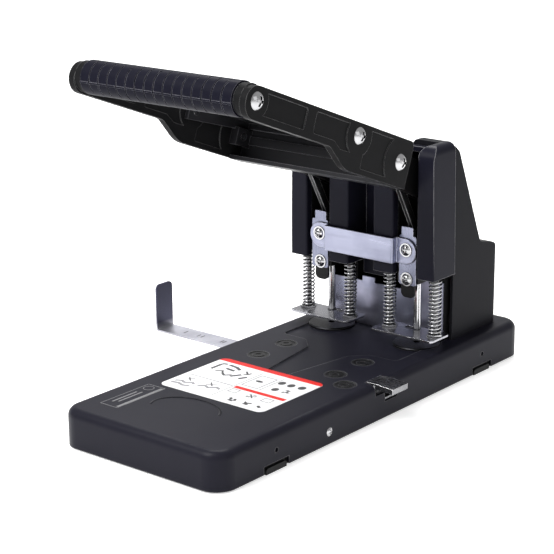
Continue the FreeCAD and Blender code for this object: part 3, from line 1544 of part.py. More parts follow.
def make_paper_guide():
    """Strip with an upright stop at its outer end, bent from one sheet."""
    low = guide_top_z - guide_thickness
    outer = -guide_reach
    top = guide_top_z + guide_upright_height
    places = [(outer, low), (guide_tail_x, low), (guide_tail_x, guide_top_z),
              (outer + guide_thickness, guide_top_z), (outer + guide_thickness, top), (outer, top)]
    radii = [guide_bend_radius, 0, 0, guide_bend_radius - guide_thickness, 0, 0]
    sheet = front_prism(places, radii, guide_y - guide_width / 2, guide_y + guide_width / 2)
    plate = side_prism(rectangle(guide_y - guide_width / 2, guide_y + guide_width / 2,
                                 low - cut_overrun, top),
                       [0, 0, guide_corner_radius, guide_corner_radius],
                       outer - cut_overrun, outer + guide_bend_radius + cut_overrun)
    strip = box(outer + guide_bend_radius, guide_tail_x + cut_overrun, guide_y - guide_width / 2,
                guide_y + guide_width / 2, low - cut_overrun, guide_top_z + cut_overrun)
    return sheet.common(plate.fuse(strip))


def make_guide_lock():
    """Sprung tab that clamps the guide: a drooping plate with two turned-down lips."""
    half = lock_width / 2
    top = lock_top_z
    places = [(lock_inner_x, top - lock_thickness), (half_width, top - lock_thickness),
              (lock_outer_x, top - lock_droop - lock_thickness), (lock_outer_x, top - lock_droop),
              (half_width, top), (lock_inner_x, top)]
    plate = front_prism(places, [0] * 6, lock_y - half, lock_y + half)
    outer_lip = box(lock_outer_x - lock_thickness, lock_outer_x, lock_y - half, lock_y + half,
                    top - lock_droop - lock_thickness - lock_lip, top - lock_droop - lock_thickness / 2)
    front_lip = front_prism([(half_width, top - lock_thickness - lock_lip),
                             (lock_outer_x, top - lock_droop - lock_thickness - lock_lip),
                             (lock_outer_x, top - lock_droop - lock_thickness / 2),
                             (half_width, top - lock_thickness / 2)], [0] * 4,
                            lock_y - half, lock_y - half + lock_thickness)
    lugs = []
    for end in (-1, 1):
        first = lock_y + end * half
        second = lock_y + end * (half - lock_lug_thickness)
        lugs.append(box(lock_inner_x, lock_inner_x + 2 * lock_lug_height, min(first, second),
                        max(first, second), top - lock_thickness - lock_lug_height,
                        top - lock_thickness))
    leaf_front = lock_window_y - lock_leaf_width / 2
    drop = box(lock_inner_x, lock_inner_x + lock_thickness, leaf_front, lock_y + half,
               lock_leaf_z - lock_thickness, top - lock_thickness / 2)
    leaf = box(lock_inner_x, lock_leaf_end_x, leaf_front, leaf_front + lock_leaf_width,
               lock_leaf_z - lock_thickness, lock_leaf_z)
    tab = fuse([plate, outer_lip, front_lip, drop, leaf] + lugs)
    hole = rod_y_axis(lock_pin_radius + running_clearance, lock_y - half - cut_overrun,
                      lock_y + half + cut_overrun, lock_inner_x + lock_lug_height,
                      lock_top_z - lock_thickness - lock_lug_height / 2)
    return tab.cut(hole)


def make_lock_pin():
    """Hinge pin of the lock tab, held in the base's pocket walls."""
    half = lock_width / 2 + slide_clearance
    return rod_y_axis(lock_pin_radius, lock_y - half, lock_y + half, lock_inner_x + lock_lug_height,
                      lock_top_z - lock_thickness - lock_lug_height / 2)


def build_all():
    """Every node's shape by its name."""
    nodes = {
        "base_shell": make_base_shell(),
        "screw_caps": make_screw_caps(),
        "chip_tray": make_chip_tray(),
        "side_screws": make_side_screws(),
        "chassis_plate": make_chassis_plate(),
        "instruction_label": make_instruction_label(),
        "guide_rail": make_guide_rail(),
        "front_cover": make_front_cover(),
        "rear_cover": make_rear_cover(),
        "cover_screws": make_cover_screws(),
        "back_plate": make_back_plate(),
        "tie_bolts": make_tie_bolts(),
        "tie_spacers": make_tie_spacers(),
        "lever_shafts": make_lever_shafts(),
        "shaft_rings": make_shaft_rings(),
        "shaft_spacers": make_shaft_spacers(),
        "rod_nuts": make_rod_nuts(),
        "spring_seats": make_spring_seats(),
        "head_bushes": make_head_bushes(),
        "head_screws": make_head_screws(),
        "head_strap": make_strap(),
        "link_head_pins": make_link_head_pins(),
        "yoke": make_yoke(),
        "lever_bushes": make_lever_bushes(),
        "arm_bolts": make_arm_bolts(),
        "grip_screws": make_grip_screws(),
        "grip_shaft": make_grip_shaft(),
        "grip_sleeve": make_grip_sleeve(),
        "paper_guide": make_paper_guide(),
        "guide_lock": make_guide_lock(),
        "lock_pin": make_lock_pin(),
    }
    for side, word in ((-1, "left"), (1, "right")):
        nodes["die_" + word] = make_die(side)
        nodes["frame_cheeks_" + word] = make_cheeks(side)
        nodes["rod_bridge_" + word] = make_rod_bridge(side)
        nodes["guide_rods_" + word] = make_guide_rods(side)
        nodes["pressure_plate_" + word] = make_pressure_plate(side)
        nodes["head_block_" + word] = make_head_block(side)
        nodes["punch_pin_" + word] = make_punch_pin(side)
        nodes["face_plate_" + word] = make_face_plate(side)
        nodes["link_" + word] = make_link(side)
        nodes["link_foot_pin_" + word] = make_link_foot_pin(side)
        nodes["inner_lever_" + word] = make_inner_lever(side)
        nodes["arm_" + word] = make_arm(side)
        for place, x in (("inner", rod_places[0]), ("outer", rod_places[1])):
            spring, gap = make_spring(side * x)
            print("spring", word, place, "least gap between turns", round(gap, 2))
            nodes["spring_" + word + "_" + place] = spring
    return nodes


def main():
    os.makedirs("parts", exist_ok=True)
    nodes = build_all()
    for name, shape in nodes.items():
        shape.exportStep("parts/" + name + ".step")
        print(name, len(shape.Solids), "solids", round(shape.Volume), "mm3", shape.isValid())
    print(len(nodes), "nodes")


main()
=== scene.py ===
# %% [markdown]
# # A lever paper punch, dressed for its photograph
#
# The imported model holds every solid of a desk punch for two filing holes: a long base, a column with
# two punch heads, and a lever with a ribbed grip. This lesson gives those solids their paint, plastic,
# rubber and steel, winds the springs that the model only stands in for, and adds the printed and
# moulded details. Every value is in metres, in the frame that the model already uses.

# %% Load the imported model
import math

import bmesh
import bpy
from mathutils import Matrix
from mathutils import Vector


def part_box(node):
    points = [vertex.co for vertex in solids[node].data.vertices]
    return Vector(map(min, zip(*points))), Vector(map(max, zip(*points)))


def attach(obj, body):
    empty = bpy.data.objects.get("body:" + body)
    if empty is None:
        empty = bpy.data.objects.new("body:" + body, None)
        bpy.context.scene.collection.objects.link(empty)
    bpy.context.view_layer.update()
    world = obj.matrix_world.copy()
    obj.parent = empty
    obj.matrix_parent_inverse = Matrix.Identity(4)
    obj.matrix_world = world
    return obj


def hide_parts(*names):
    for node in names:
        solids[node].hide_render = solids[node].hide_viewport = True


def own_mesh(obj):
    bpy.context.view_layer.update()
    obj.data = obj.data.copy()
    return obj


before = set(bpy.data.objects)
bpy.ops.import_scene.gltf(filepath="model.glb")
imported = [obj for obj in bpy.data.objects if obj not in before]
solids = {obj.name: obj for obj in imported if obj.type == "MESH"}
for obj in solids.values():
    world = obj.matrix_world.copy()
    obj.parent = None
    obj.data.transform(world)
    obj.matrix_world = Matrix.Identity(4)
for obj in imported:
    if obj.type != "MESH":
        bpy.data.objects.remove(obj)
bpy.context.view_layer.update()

mm = 0.001

# %% [markdown]
# ## The camera
#
# A camera can be placed by eye or worked out. Here it was worked out from the base's straight edges and
# the two punches, so its place, its direction and its long lens are written down as numbers. The long
# lens is why the far end of the lever looks hardly smaller than the near end.

# %% Place the camera
camera_place = (0.7413, -0.9377, 0.4419)
camera_right = Vector((0.7745, 0.6326, -0.0067)).normalized()
camera_back = Vector((0.6084, -0.7419, 0.2819)).normalized()
camera_up = camera_back.cross(camera_right).normalized()
camera_lens = 112.8
camera_sensor = 36.0

lens = bpy.data.cameras.new("photo_lens")
lens.lens = camera_lens
lens.sensor_width = camera_sensor
camera = bpy.data.objects.new("photo_camera", lens)
turn = Matrix((camera_right, camera_up, camera_back)).transposed()
camera.matrix_world = Matrix.Translation(camera_place) @ turn.to_4x4()
bpy.context.scene.collection.objects.link(camera)
bpy.context.scene.camera = camera
bpy.context.scene.view_settings.view_transform = "Standard"
print("camera looks along", -camera_back)

# %% [markdown]
# ## Small helpers for shapes
#
# A piece starts as a bmesh, which is a mesh that operators can work on. When its shape is done it
# becomes an object that stays at the origin: its place is in its points, as it is for the solids of the
# model, so that a pattern in a material stays still on it.

# %% Turn a finished bmesh into a piece
def finish_piece(name, work, smooth=False):
    """Makes an object of a bmesh, with its faces turned outwards."""
    bmesh.ops.recalc_face_normals(work, faces=work.faces[:])
    for face in work.faces:
        face.smooth = smooth
    mesh = bpy.data.meshes.new(name)
    work.to_mesh(mesh)
    work.free()
    piece = bpy.data.objects.new(name, mesh)
    bpy.context.scene.collection.objects.link(piece)
    print("made", name, "with", len(mesh.polygons), "faces")
    return piece


# %% [markdown]
# ## Small helpers for materials
#
# A material is a tree of nodes. An effect that many materials share, such as edges that are worn and
# painted bright, is a group with named inputs and outputs. The group is built once and placed in each
# material with its own values.

# %% Build node groups
def start_group(name, inputs, outputs):
    """A new node group with its inputs and outputs, and the two nodes that stand for them inside."""
    group = bpy.data.node_groups.new(name, "ShaderNodeTree")
    for label, kind, value in inputs:
        socket = group.interface.new_socket(name=label, in_out="INPUT", socket_type=kind)
        socket.default_value = value
    for label, kind in outputs:
        group.interface.new_socket(name=label, in_out="OUTPUT", socket_type=kind)
    return group, group.nodes.new("NodeGroupInput"), group.nodes.new("NodeGroupOutput")


def math_node(tree, operation, first, second):
    """A Math node whose two inputs are plain numbers or other nodes' outputs."""
    node = tree.nodes.new("ShaderNodeMath")
    node.operation = operation
    for socket, value in zip(node.inputs, (first, second)):
        if isinstance(value, (int, float)):
            socket.default_value = value
        else:
            tree.links.new(value, socket)
    return node.outputs[0]


def range_node(tree, value, low, high, new_low, new_high):
    """A Map Range node that carries a value from one range to another and stays inside it."""
    node = tree.nodes.new("ShaderNodeMapRange")
    tree.links.new(value, node.inputs["Value"])
    node.inputs["From Min"].default_value = low
    node.inputs["From Max"].default_value = high
    node.inputs["To Min"].default_value = new_low
    node.inputs["To Max"].default_value = new_high
    return node.outputs["Result"]


# %% [markdown]
# ### Rounded edges, rubbed and painted bright
#
# No real edge is perfectly sharp: pressed steel and moulded plastic have a small rounding that catches
# the light, and handling rubs it a little brighter. The Bevel node looks at the surface just around a
# point and gives the direction that a rounded edge would have there. Where that direction differs from
# the flat surface's own, there is an edge, so the difference is a mask as well. The recipes mix a
# lighter colour into the edges by this mask: partly rubbed wear, and partly a painted highlight where
# the rounding would catch the light.

# %% Edge group
mask_samples = 6
edge_bend = (0.01, 0.18)
rubbing_scale = 160.0
rubbing_detail = 3.0
spot_range = (0.35, 0.65)


def make_edge_group():
    """Group with the rounded normal near edges and a mask of the edges themselves."""
    group, given, result = start_group(
        "rubbed edges and painted highlights",
        [("Width", "NodeSocketFloat", 0.5 * mm), ("Breakup", "NodeSocketFloat", 0.5)],
        [("Mask", "NodeSocketFloat"), ("Normal", "NodeSocketVector")])
    rounded = group.nodes.new("ShaderNodeBevel")
    rounded.samples = mask_samples
    group.links.new(given.outputs["Width"], rounded.inputs["Radius"])
    flat = group.nodes.new("ShaderNodeNewGeometry")
    likeness = group.nodes.new("ShaderNodeVectorMath")
    likeness.operation = "DOT_PRODUCT"
    group.links.new(rounded.outputs["Normal"], likeness.inputs[0])
    group.links.new(flat.outputs["Normal"], likeness.inputs[1])
    bend = math_node(group, "SUBTRACT", 1.0, likeness.outputs["Value"])
    edge = range_node(group, bend, *edge_bend, 0.0, 1.0)
    place = group.nodes.new("ShaderNodeTexCoord")
    rubbing = group.nodes.new("ShaderNodeTexNoise")
    rubbing.inputs["Scale"].default_value = rubbing_scale
    rubbing.inputs["Detail"].default_value = rubbing_detail
    group.links.new(place.outputs["Object"], rubbing.inputs["Vector"])
    spots = range_node(group, rubbing.outputs["Fac"], *spot_range, 0.0, 1.0)
    gaps = math_node(group, "SUBTRACT", 1.0, spots)
    loss = math_node(group, "MULTIPLY", gaps, given.outputs["Breakup"])
    kept = math_node(group, "SUBTRACT", 1.0, loss)
    mask = math_node(group, "MULTIPLY", edge, kept)
    group.links.new(mask, result.inputs["Mask"])
    group.links.new(rounded.outputs["Normal"], result.inputs["Normal"])
    return group


edge_group = make_edge_group()
print("edge group has", len(edge_group.nodes), "nodes")

# %% [markdown]
# ### Fine grain
#
# Enamel, moulded plastic and rubber all have a fine unevenness, and only its size and depth differ. One
# noise at the grain's own size makes the bumps, and a broader one makes the colour and gloss drift a
# little over a large face, as they do on a real moulding.

# %% Grain group
grain_detail = 2.0
tone_detail = 4.0


def make_grain_group():
    """Group with a fine height for bumps and a broad tone for colour and gloss."""
    group, given, result = start_group(
        "fine grain",
        [("Scale", "NodeSocketFloat", 2500.0), ("Drift", "NodeSocketFloat", 14.0)],
        [("Height", "NodeSocketFloat"), ("Tone", "NodeSocketFloat")])
    place = group.nodes.new("ShaderNodeTexCoord")
    for key, output, detail in (("Scale", "Height", grain_detail), ("Drift", "Tone", tone_detail)):
        noise = group.nodes.new("ShaderNodeTexNoise")
        noise.inputs["Detail"].default_value = detail
        group.links.new(place.outputs["Object"], noise.inputs["Vector"])
        group.links.new(given.outputs[key], noise.inputs["Scale"])
        group.links.new(noise.outputs["Fac"], result.inputs[output])
    return group


grain_group = make_grain_group()
print("grain group has", len(grain_group.nodes), "nodes")

# %% [markdown]
# ### Brushed and drawn steel
#
# Rolled or brushed steel has long fine lines in one direction. Stretching a noise does that: where the
# coordinates are multiplied by a large number the pattern is narrow, and by a small one it is long.

# %% Brushed group
streak_detail = 3.0


def make_brushed_group():
    """Group with streaks along one direction, set by how much each axis is squeezed."""
    group, given, result = start_group(
        "brushed lines",
        [("Squeeze", "NodeSocketVector", (40.0, 1500.0, 1500.0)), ("Drift", "NodeSocketFloat", 30.0)],
        [("Height", "NodeSocketFloat"), ("Tone", "NodeSocketFloat")])
    place = group.nodes.new("ShaderNodeTexCoord")
    squeezed = group.nodes.new("ShaderNodeVectorMath")
    squeezed.operation = "MULTIPLY"
    group.links.new(place.outputs["Object"], squeezed.inputs[0])
    group.links.new(given.outputs["Squeeze"], squeezed.inputs[1])
    streaks = group.nodes.new("ShaderNodeTexNoise")
    streaks.inputs["Scale"].default_value = 1.0
    streaks.inputs["Detail"].default_value = streak_detail
    group.links.new(squeezed.outputs["Vector"], streaks.inputs["Vector"])
    clouds = group.nodes.new("ShaderNodeTexNoise")
    clouds.inputs["Detail"].default_value = streak_detail
    group.links.new(place.outputs["Object"], clouds.inputs["Vector"])
    group.links.new(given.outputs["Drift"], clouds.inputs["Scale"])
    group.links.new(streaks.outputs["Fac"], result.inputs["Height"])
    group.links.new(clouds.outputs["Fac"], result.inputs["Tone"])
    return group


brushed_group = make_brushed_group()
print("brushed group has", len(brushed_group.nodes), "nodes")

# %% [markdown]
# ### Shade in slots and corners
#
# The cross in a screw's head and the gap between two turns of a spring look black, because little light
# gets in. The Ambient Occlusion node measures how closed in a point is within a short distance, which
# makes a mask for such places, and the metals' colour is darkened by it: painted shade.

# %% Crevice group
crevice_openness = (0.35, 0.88)


def make_crevice_shade_group():
    """Group with a mask of slots, gaps and inner corners, where shade is painted."""
    group, given, result = start_group(
        "painted crevice shade",
        [("Reach", "NodeSocketFloat", 1.5 * mm)],
        [("Mask", "NodeSocketFloat")])
    closed_in = group.nodes.new("ShaderNodeAmbientOcclusion")
    closed_in.samples = mask_samples
    group.links.new(given.outputs["Reach"], closed_in.inputs["Distance"])
    mask = range_node(group, closed_in.outputs["AO"], *crevice_openness, 1.0, 0.0)
    group.links.new(mask, result.inputs["Mask"])
    return group


crevice_shade_group = make_crevice_shade_group()
print("crevice group has", len(crevice_shade_group.nodes), "nodes")

# %% [markdown]
# ### One recipe for the dark finishes, one for the metals
#
# Enamel, plastic and rubber differ in their numbers only: a colour, how glossy they are, how coarse
# their grain is and how bright their edges are painted and rubbed. The metals share another recipe, with
# brushed lines in place of grain. Numbers that are the same all over a piece are set on the shader's own
# sockets.

# %% Helpers for both recipes
tone_range = (0.35, 0.65)
gloss_range = (0.3, 0.7)


def place_group(tree, group, **values):
    """Puts a node group in a material and sets its inputs by name."""
    node = tree.nodes.new("ShaderNodeGroup")
    node.node_tree = group
    for label, value in values.items():
        node.inputs[label].default_value = value
    return node


def mix_colours(tree, share, first, second):
    """Mixes two colours, each a plain colour or another node's output, by a share from another node."""
    node = tree.nodes.new("ShaderNodeMix")
    node.data_type = "RGBA"
    tree.links.new(share, node.inputs["Factor"])
    for label, value in (("A", first), ("B", second)):
        socket = [found for found in node.inputs if found.name == label and found.type == "RGBA"][0]
        if isinstance(value, tuple):
            socket.default_value = (*value, 1.0)
        else:
            tree.links.new(value, socket)
    return [found for found in node.outputs if found.type == "RGBA"][0]


def roughen(tree, shader, surface, edges, depth):
    """Feeds the surface's height, as bumps on the rounded edges, to the shader."""
    bump = tree.nodes.new("ShaderNodeBump")
    bump.inputs["Strength"].default_value = 1.0
    bump.inputs["Distance"].default_value = depth
    tree.links.new(surface.outputs["Height"], bump.inputs["Height"])
    tree.links.new(edges.outputs["Normal"], bump.inputs["Normal"])
    tree.links.new(bump.outputs["Normal"], shader.inputs["Normal"])


# %% Recipe for enamel, plastic and rubber
paint_drift = 16.0
paint_breakup = 0.45
paint_gloss_spread = (0.92, 1.1)


def dark_finish(name, colour, light_colour, edge_highlight_colour, roughness, specular, grain, depth,
                edge_width, edge_highlight_share):
    """Material for a painted, moulded or rubber surface."""
    material = bpy.data.materials.new(name)
    material.use_nodes = True
    tree = material.node_tree
    shader = tree.nodes["Principled BSDF"]
    shader.inputs["Specular IOR Level"].default_value = specular
    surface = place_group(tree, grain_group, Scale=grain, Drift=paint_drift)
    edges = place_group(tree, edge_group, Width=edge_width, Breakup=paint_breakup)
    drift = range_node(tree, surface.outputs["Tone"], *tone_range, 0.0, 1.0)
    body_colour = mix_colours(tree, drift, colour, light_colour)
    # The lighter edge colour is partly rubbed wear and partly a painted highlight.
    rubbed_and_highlit = math_node(tree, "MULTIPLY", edges.outputs["Mask"], edge_highlight_share)
    full_colour = mix_colours(tree, rubbed_and_highlit, body_colour, edge_highlight_colour)
    tree.links.new(full_colour, shader.inputs["Base Color"])
    smoothest, roughest = [roughness * share for share in paint_gloss_spread]
    gloss = range_node(tree, surface.outputs["Tone"], *gloss_range, smoothest, roughest)
    tree.links.new(gloss, shader.inputs["Roughness"])
    roughen(tree, shader, surface, edges, depth)
    print("finish", name, "roughness", roughness, "grain", grain)
    return material


# %% Recipe for metals
crevice_shade_colour = (0.012, 0.012, 0.013)
metal_drift = 45.0
metal_breakup = 0.1
metal_gloss_spread = (0.8, 1.25)


def metal_finish(name, colour, dull_colour, edge_highlight_colour, roughness, squeeze, depth,
                 edge_width, edge_highlight_share=0.6, crevice_reach=1.5 * mm):
    """Material for bare, plated or blackened metal."""
    material = bpy.data.materials.new(name)
    material.use_nodes = True
    tree = material.node_tree
    shader = tree.nodes["Principled BSDF"]
    shader.inputs["Metallic"].default_value = 1.0
    surface = place_group(tree, brushed_group, Squeeze=squeeze, Drift=metal_drift)
    edges = place_group(tree, edge_group, Width=edge_width, Breakup=metal_breakup)
    crevice_shade = place_group(tree, crevice_shade_group, Reach=crevice_reach)
    drift = range_node(tree, surface.outputs["Tone"], *tone_range, 0.0, 1.0)
    body_colour = mix_colours(tree, drift, colour, dull_colour)
    # The lighter edge colour is partly rubbed wear and partly a painted highlight.
    rubbed_and_highlit = math_node(tree, "MULTIPLY", edges.outputs["Mask"], edge_highlight_share)
    rubbed_and_highlit_colour = mix_colours(tree, rubbed_and_highlit, body_colour, edge_highlight_colour)
    # The crevice mask paints shade into the colour: slots, gaps and inner corners turn near black.
    full_colour = mix_colours(tree, crevice_shade.outputs["Mask"], rubbed_and_highlit_colour, crevice_shade_colour)
    tree.links.new(full_colour, shader.inputs["Base Color"])
    smoothest, roughest = [roughness * share for share in metal_gloss_spread]
    gloss = range_node(tree, surface.outputs["Height"], *gloss_range, smoothest, roughest)
    tree.links.new(gloss, shader.inputs["Roughness"])
    roughen(tree, shader, surface, edges, depth)
    print("metal", name, "roughness", roughness)
    return material


# %% [markdown]
# ## The finishes of the base
#
# The base is a deep sheet-steel tray turned upside down and sprayed with satin black enamel. Enamel is
# smooth, so its grain is very shallow, and its large top shows a soft even grey from the light above.
# The round plugs over its screws and the tray that snaps in underneath are plain black plastic.

# %% Base finishes
# The lighter edge colours of the enamel and the plugs are painted highlights along the valley rims and the
# plugs' rims, with a little rubbing.
base_enamel = dark_finish(
    "base_enamel", (0.0088, 0.0086, 0.0150), (0.0112, 0.0109, 0.0178), (0.2, 0.2, 0.21),
    roughness=0.38, specular=0.10, grain=2200.0, depth=0.006 * mm, edge_width=1.4 * mm, edge_highlight_share=0.7)
cap_plastic = dark_finish(
    "cap_plastic", (0.005, 0.005, 0.0055), (0.008, 0.008, 0.0085), (0.17, 0.17, 0.175),
    roughness=0.34, specular=0.2, grain=3000.0, depth=0.004 * mm, edge_width=0.35 * mm, edge_highlight_share=0.7)
tray_plastic = dark_finish(
    "tray_plastic", (0.006, 0.006, 0.0065), (0.009, 0.009, 0.0095), (0.03, 0.03, 0.032),
    roughness=0.55, specular=0.25, grain=1500.0, depth=0.012 * mm, edge_width=0.4 * mm, edge_highlight_share=0.4)

# %% [markdown]
# ## The finishes of the column
#
# The four front towers are one glossy moulding with a blue-black look. The large cover behind them is a
# duller charcoal, because it was moulded with a fine spark texture. What stands between the two covers
# is blackened steel, and stays dark in the shade of the towers.

# %% Column finishes
# The towers' light edge colour is a painted highlight, strongest along the seam at their rear edge.
tower_plastic = dark_finish(
    "tower_plastic", (0.0094, 0.0094, 0.0165), (0.0116, 0.0116, 0.0193), (0.48, 0.48, 0.50),
    roughness=0.3, specular=0.06, grain=2600.0, depth=0.004 * mm, edge_width=0.9 * mm, edge_highlight_share=0.9)
rear_plastic = dark_finish(
    "rear_plastic", (0.0098, 0.0098, 0.0128), (0.0130, 0.0130, 0.0160), (0.14, 0.14, 0.15),
    roughness=0.40, specular=0.04, grain=1400.0, depth=0.010 * mm, edge_width=0.8 * mm, edge_highlight_share=0.4)
black_steel = dark_finish(
    "black_steel", (0.0035, 0.0035, 0.0038), (0.006, 0.006, 0.0063), (0.12, 0.12, 0.125),
    roughness=0.4, specular=0.15, grain=1800.0, depth=0.008 * mm, edge_width=0.35 * mm, edge_highlight_share=0.55)
# The links' near-white edge colour paints bright glints along their edges.
link_steel = dark_finish(
    "link_steel", (0.006, 0.006, 0.0065), (0.009, 0.009, 0.0095), (0.85, 0.85, 0.87),
    roughness=0.3, specular=0.3, grain=1800.0, depth=0.006 * mm, edge_width=1.1 * mm, edge_highlight_share=1.0)
hidden_steel = dark_finish(
    "hidden_steel", (0.004, 0.004, 0.0045), (0.006, 0.006, 0.0065), (0.02, 0.02, 0.021),
    roughness=0.6, specular=0.15, grain=1500.0, depth=0.010 * mm, edge_width=0.3 * mm, edge_highlight_share=0.3)

# %% [markdown]
# ## The finishes of the lever
#
# The two arms and the piece between them are painted castings with a semi-matte skin. The rims of their
# pockets carry a painted highlight, a slightly lighter line. The piece between the arms has a lighter copy
# of the arms' enamel, which paints light into its shaded web. The grip is a rubber sleeve of sixteen rings,
# matte and a little blue, and the thin edge of each ring has a fine painted bright line.

# %% Lever finishes
arm_enamel = dark_finish(
    "arm_enamel", (0.0085, 0.0085, 0.0092), (0.0112, 0.0112, 0.0119), (0.30, 0.30, 0.305),
    roughness=0.40, specular=0.03, grain=1100.0, depth=0.014 * mm, edge_width=0.6 * mm, edge_highlight_share=0.7)
# A lighter copy of the arms' enamel: painted light in the yoke's shaded web.
yoke_enamel_with_painted_light = dark_finish(
    "yoke_enamel_with_painted_light", (0.0160, 0.0160, 0.0180), (0.0200, 0.0200, 0.0225), (0.30, 0.30, 0.32),
    roughness=0.38, specular=0.10, grain=1200.0, depth=0.012 * mm, edge_width=0.8 * mm, edge_highlight_share=0.5)
grip_rubber = dark_finish(
    "grip_rubber", (0.0054, 0.0054, 0.0115), (0.0076, 0.0076, 0.0144), (0.38, 0.38, 0.42),
    roughness=0.42, specular=0.04, grain=2000.0, depth=0.010 * mm, edge_width=0.3 * mm, edge_highlight_share=0.8)

# %% [markdown]
# ## The metals
#
# The screws, springs, punches, guide rods and plates are chromed, so they mirror whatever is around
# them. The strap and the paper guide are plain zinc-plated sheet, a softer lavender grey with fine
# rolling lines. The plate behind the springs is polished and slightly wavy, the dies are oxidised dark,
# and the bushes are bronze.

# %% Metal finishes
# The pale edge colours of the metals paint a bright line along their edges, strongest on the guide lock's
# lip; the crevice mask paints shade in their slots and gaps.
bright_chrome = metal_finish(
    "bright_chrome", (0.60, 0.60, 0.61), (0.46, 0.46, 0.47), (0.9, 0.9, 0.92),
    roughness=0.13, squeeze=(900.0, 900.0, 90.0), depth=0.002 * mm, edge_width=0.2 * mm,
    crevice_reach=2.4 * mm)
plate_chrome = metal_finish(
    "plate_chrome", (0.46, 0.46, 0.49), (0.36, 0.36, 0.39), (0.9, 0.9, 0.92),
    roughness=0.22, squeeze=(30.0, 600.0, 600.0), depth=0.001 * mm, edge_width=0.3 * mm)
strap_steel = metal_finish(
    "strap_steel", (0.31, 0.32, 0.41), (0.25, 0.26, 0.34), (0.95, 0.95, 1.0),
    roughness=0.32, squeeze=(20.0, 500.0, 500.0), depth=0.0006 * mm, edge_width=0.6 * mm)
face_steel = metal_finish(
    "face_steel", (0.22, 0.23, 0.30), (0.17, 0.18, 0.24), (0.8, 0.8, 0.88),
    roughness=0.26, squeeze=(900.0, 900.0, 60.0), depth=0.0015 * mm, edge_width=0.5 * mm)
guide_steel = metal_finish(
    "guide_steel", (0.40, 0.40, 0.44), (0.32, 0.32, 0.36), (0.85, 0.85, 0.9),
    roughness=0.45, squeeze=(40.0, 1300.0, 1300.0), depth=0.004 * mm, edge_width=0.4 * mm)
lock_steel = metal_finish(
    "lock_steel", (0.26, 0.26, 0.27), (0.18, 0.18, 0.19), (0.95, 0.95, 0.96),
    roughness=0.26, squeeze=(60.0, 1200.0, 1200.0), depth=0.002 * mm, edge_width=0.5 * mm, edge_highlight_share=0.9)
wavy_steel = metal_finish(
    "wavy_steel", (0.46, 0.46, 0.58), (0.26, 0.27, 0.36), (0.6, 0.62, 0.7),
    roughness=0.28, squeeze=(16.0, 16.0, 5.0), depth=1.6 * mm, edge_width=0.4 * mm)
die_steel = metal_finish(
    "die_steel", (0.030, 0.030, 0.033), (0.020, 0.020, 0.022), (0.22, 0.22, 0.23),
    roughness=0.36, squeeze=(700.0, 700.0, 700.0), depth=0.004 * mm, edge_width=0.4 * mm)
rod_steel = metal_finish(
    "rod_steel", (0.30, 0.30, 0.31), (0.2, 0.2, 0.21), (0.6, 0.6, 0.62),
    roughness=0.3, squeeze=(900.0, 900.0, 60.0), depth=0.004 * mm, edge_width=0.3 * mm)
bronze = metal_finish(
    "bronze", (0.48, 0.30, 0.13), (0.38, 0.23, 0.10), (0.75, 0.55, 0.3),
    roughness=0.3, squeeze=(60.0, 900.0, 900.0), depth=0.004 * mm, edge_width=0.3 * mm)

# %% [markdown]
# ### The guide's upright, painted darker
#
# The guide's strip and its upright are one piece of steel, but the upright is given a darker, blue-grey
# shade. A height on the object's own coordinates tells one from the other, and it mixes a darker colour
# into the same recipe: painted shade on the upright.

# %% Paint shade on the guide's upright
upright_from = 22.0 * mm
upright_to = 27.0 * mm
upright_shade_colour = (0.085, 0.085, 0.125)

guide_tree = guide_steel.node_tree
guide_shader = guide_tree.nodes["Principled BSDF"]
guide_place = guide_tree.nodes.new("ShaderNodeTexCoord")
guide_axes = guide_tree.nodes.new("ShaderNodeSeparateXYZ")
guide_tree.links.new(guide_place.outputs["Object"], guide_axes.inputs["Vector"])
upright_shade_mask = range_node(guide_tree, guide_axes.outputs["Z"], upright_from, upright_to, 0.0, 1.0)
strip_colour = guide_shader.inputs["Base Color"].links[0].from_socket
guide_colour = mix_colours(guide_tree, upright_shade_mask, strip_colour, upright_shade_colour)
guide_tree.links.new(guide_colour, guide_shader.inputs["Base Color"])
print("the upright is dull from", upright_from, "m up")

# %% [markdown]
# ## The printed label
#
# The label is a soft white film. A real white is never quite even, so the grain group drifts it a
# little. The inks have the same recipe with their own colours.

# %% Label and ink finishes
label_film = dark_finish(
    "label_film", (0.80, 0.80, 0.81), (0.84, 0.84, 0.85), (0.7, 0.7, 0.7),
    roughness=0.5, specular=0.2, grain=1500.0, depth=0.002 * mm, edge_width=0.15 * mm, edge_highlight_share=0.3)
red_ink = dark_finish(
    "red_ink", (0.64, 0.014, 0.010), (0.70, 0.018, 0.013), (0.6, 0.03, 0.02),
    roughness=0.4, specular=0.15, grain=1500.0, depth=0.001 * mm, edge_width=0.1 * mm, edge_highlight_share=0.1)
dark_ink = dark_finish(
    "dark_ink", (0.022, 0.022, 0.024), (0.034, 0.034, 0.036), (0.04, 0.04, 0.04),
    roughness=0.4, specular=0.4, grain=1500.0, depth=0.001 * mm, edge_width=0.1 * mm, edge_highlight_share=0.1)
grey_ink = dark_finish(
    "grey_ink", (0.26, 0.26, 0.27), (0.31, 0.31, 0.32), (0.3, 0.3, 0.3),
    roughness=0.5, specular=0.2, grain=1500.0, depth=0.001 * mm, edge_width=0.1 * mm, edge_highlight_share=0.1)
place_ink = dark_finish(
    "place_ink", (0.16, 0.16, 0.165), (0.22, 0.22, 0.225), (0.2, 0.2, 0.2),
    roughness=0.45, specular=0.3, grain=1500.0, depth=0.001 * mm, edge_width=0.1 * mm, edge_highlight_share=0.1)

# %% [markdown]
# ## Which solid has which finish
#
# The model names every solid, so a table of names is enough to dress them. Left and right pieces share a
# name but for their ending. A solid that the table leaves out would keep the model's plain colour, so the
# cell stops if there is one.

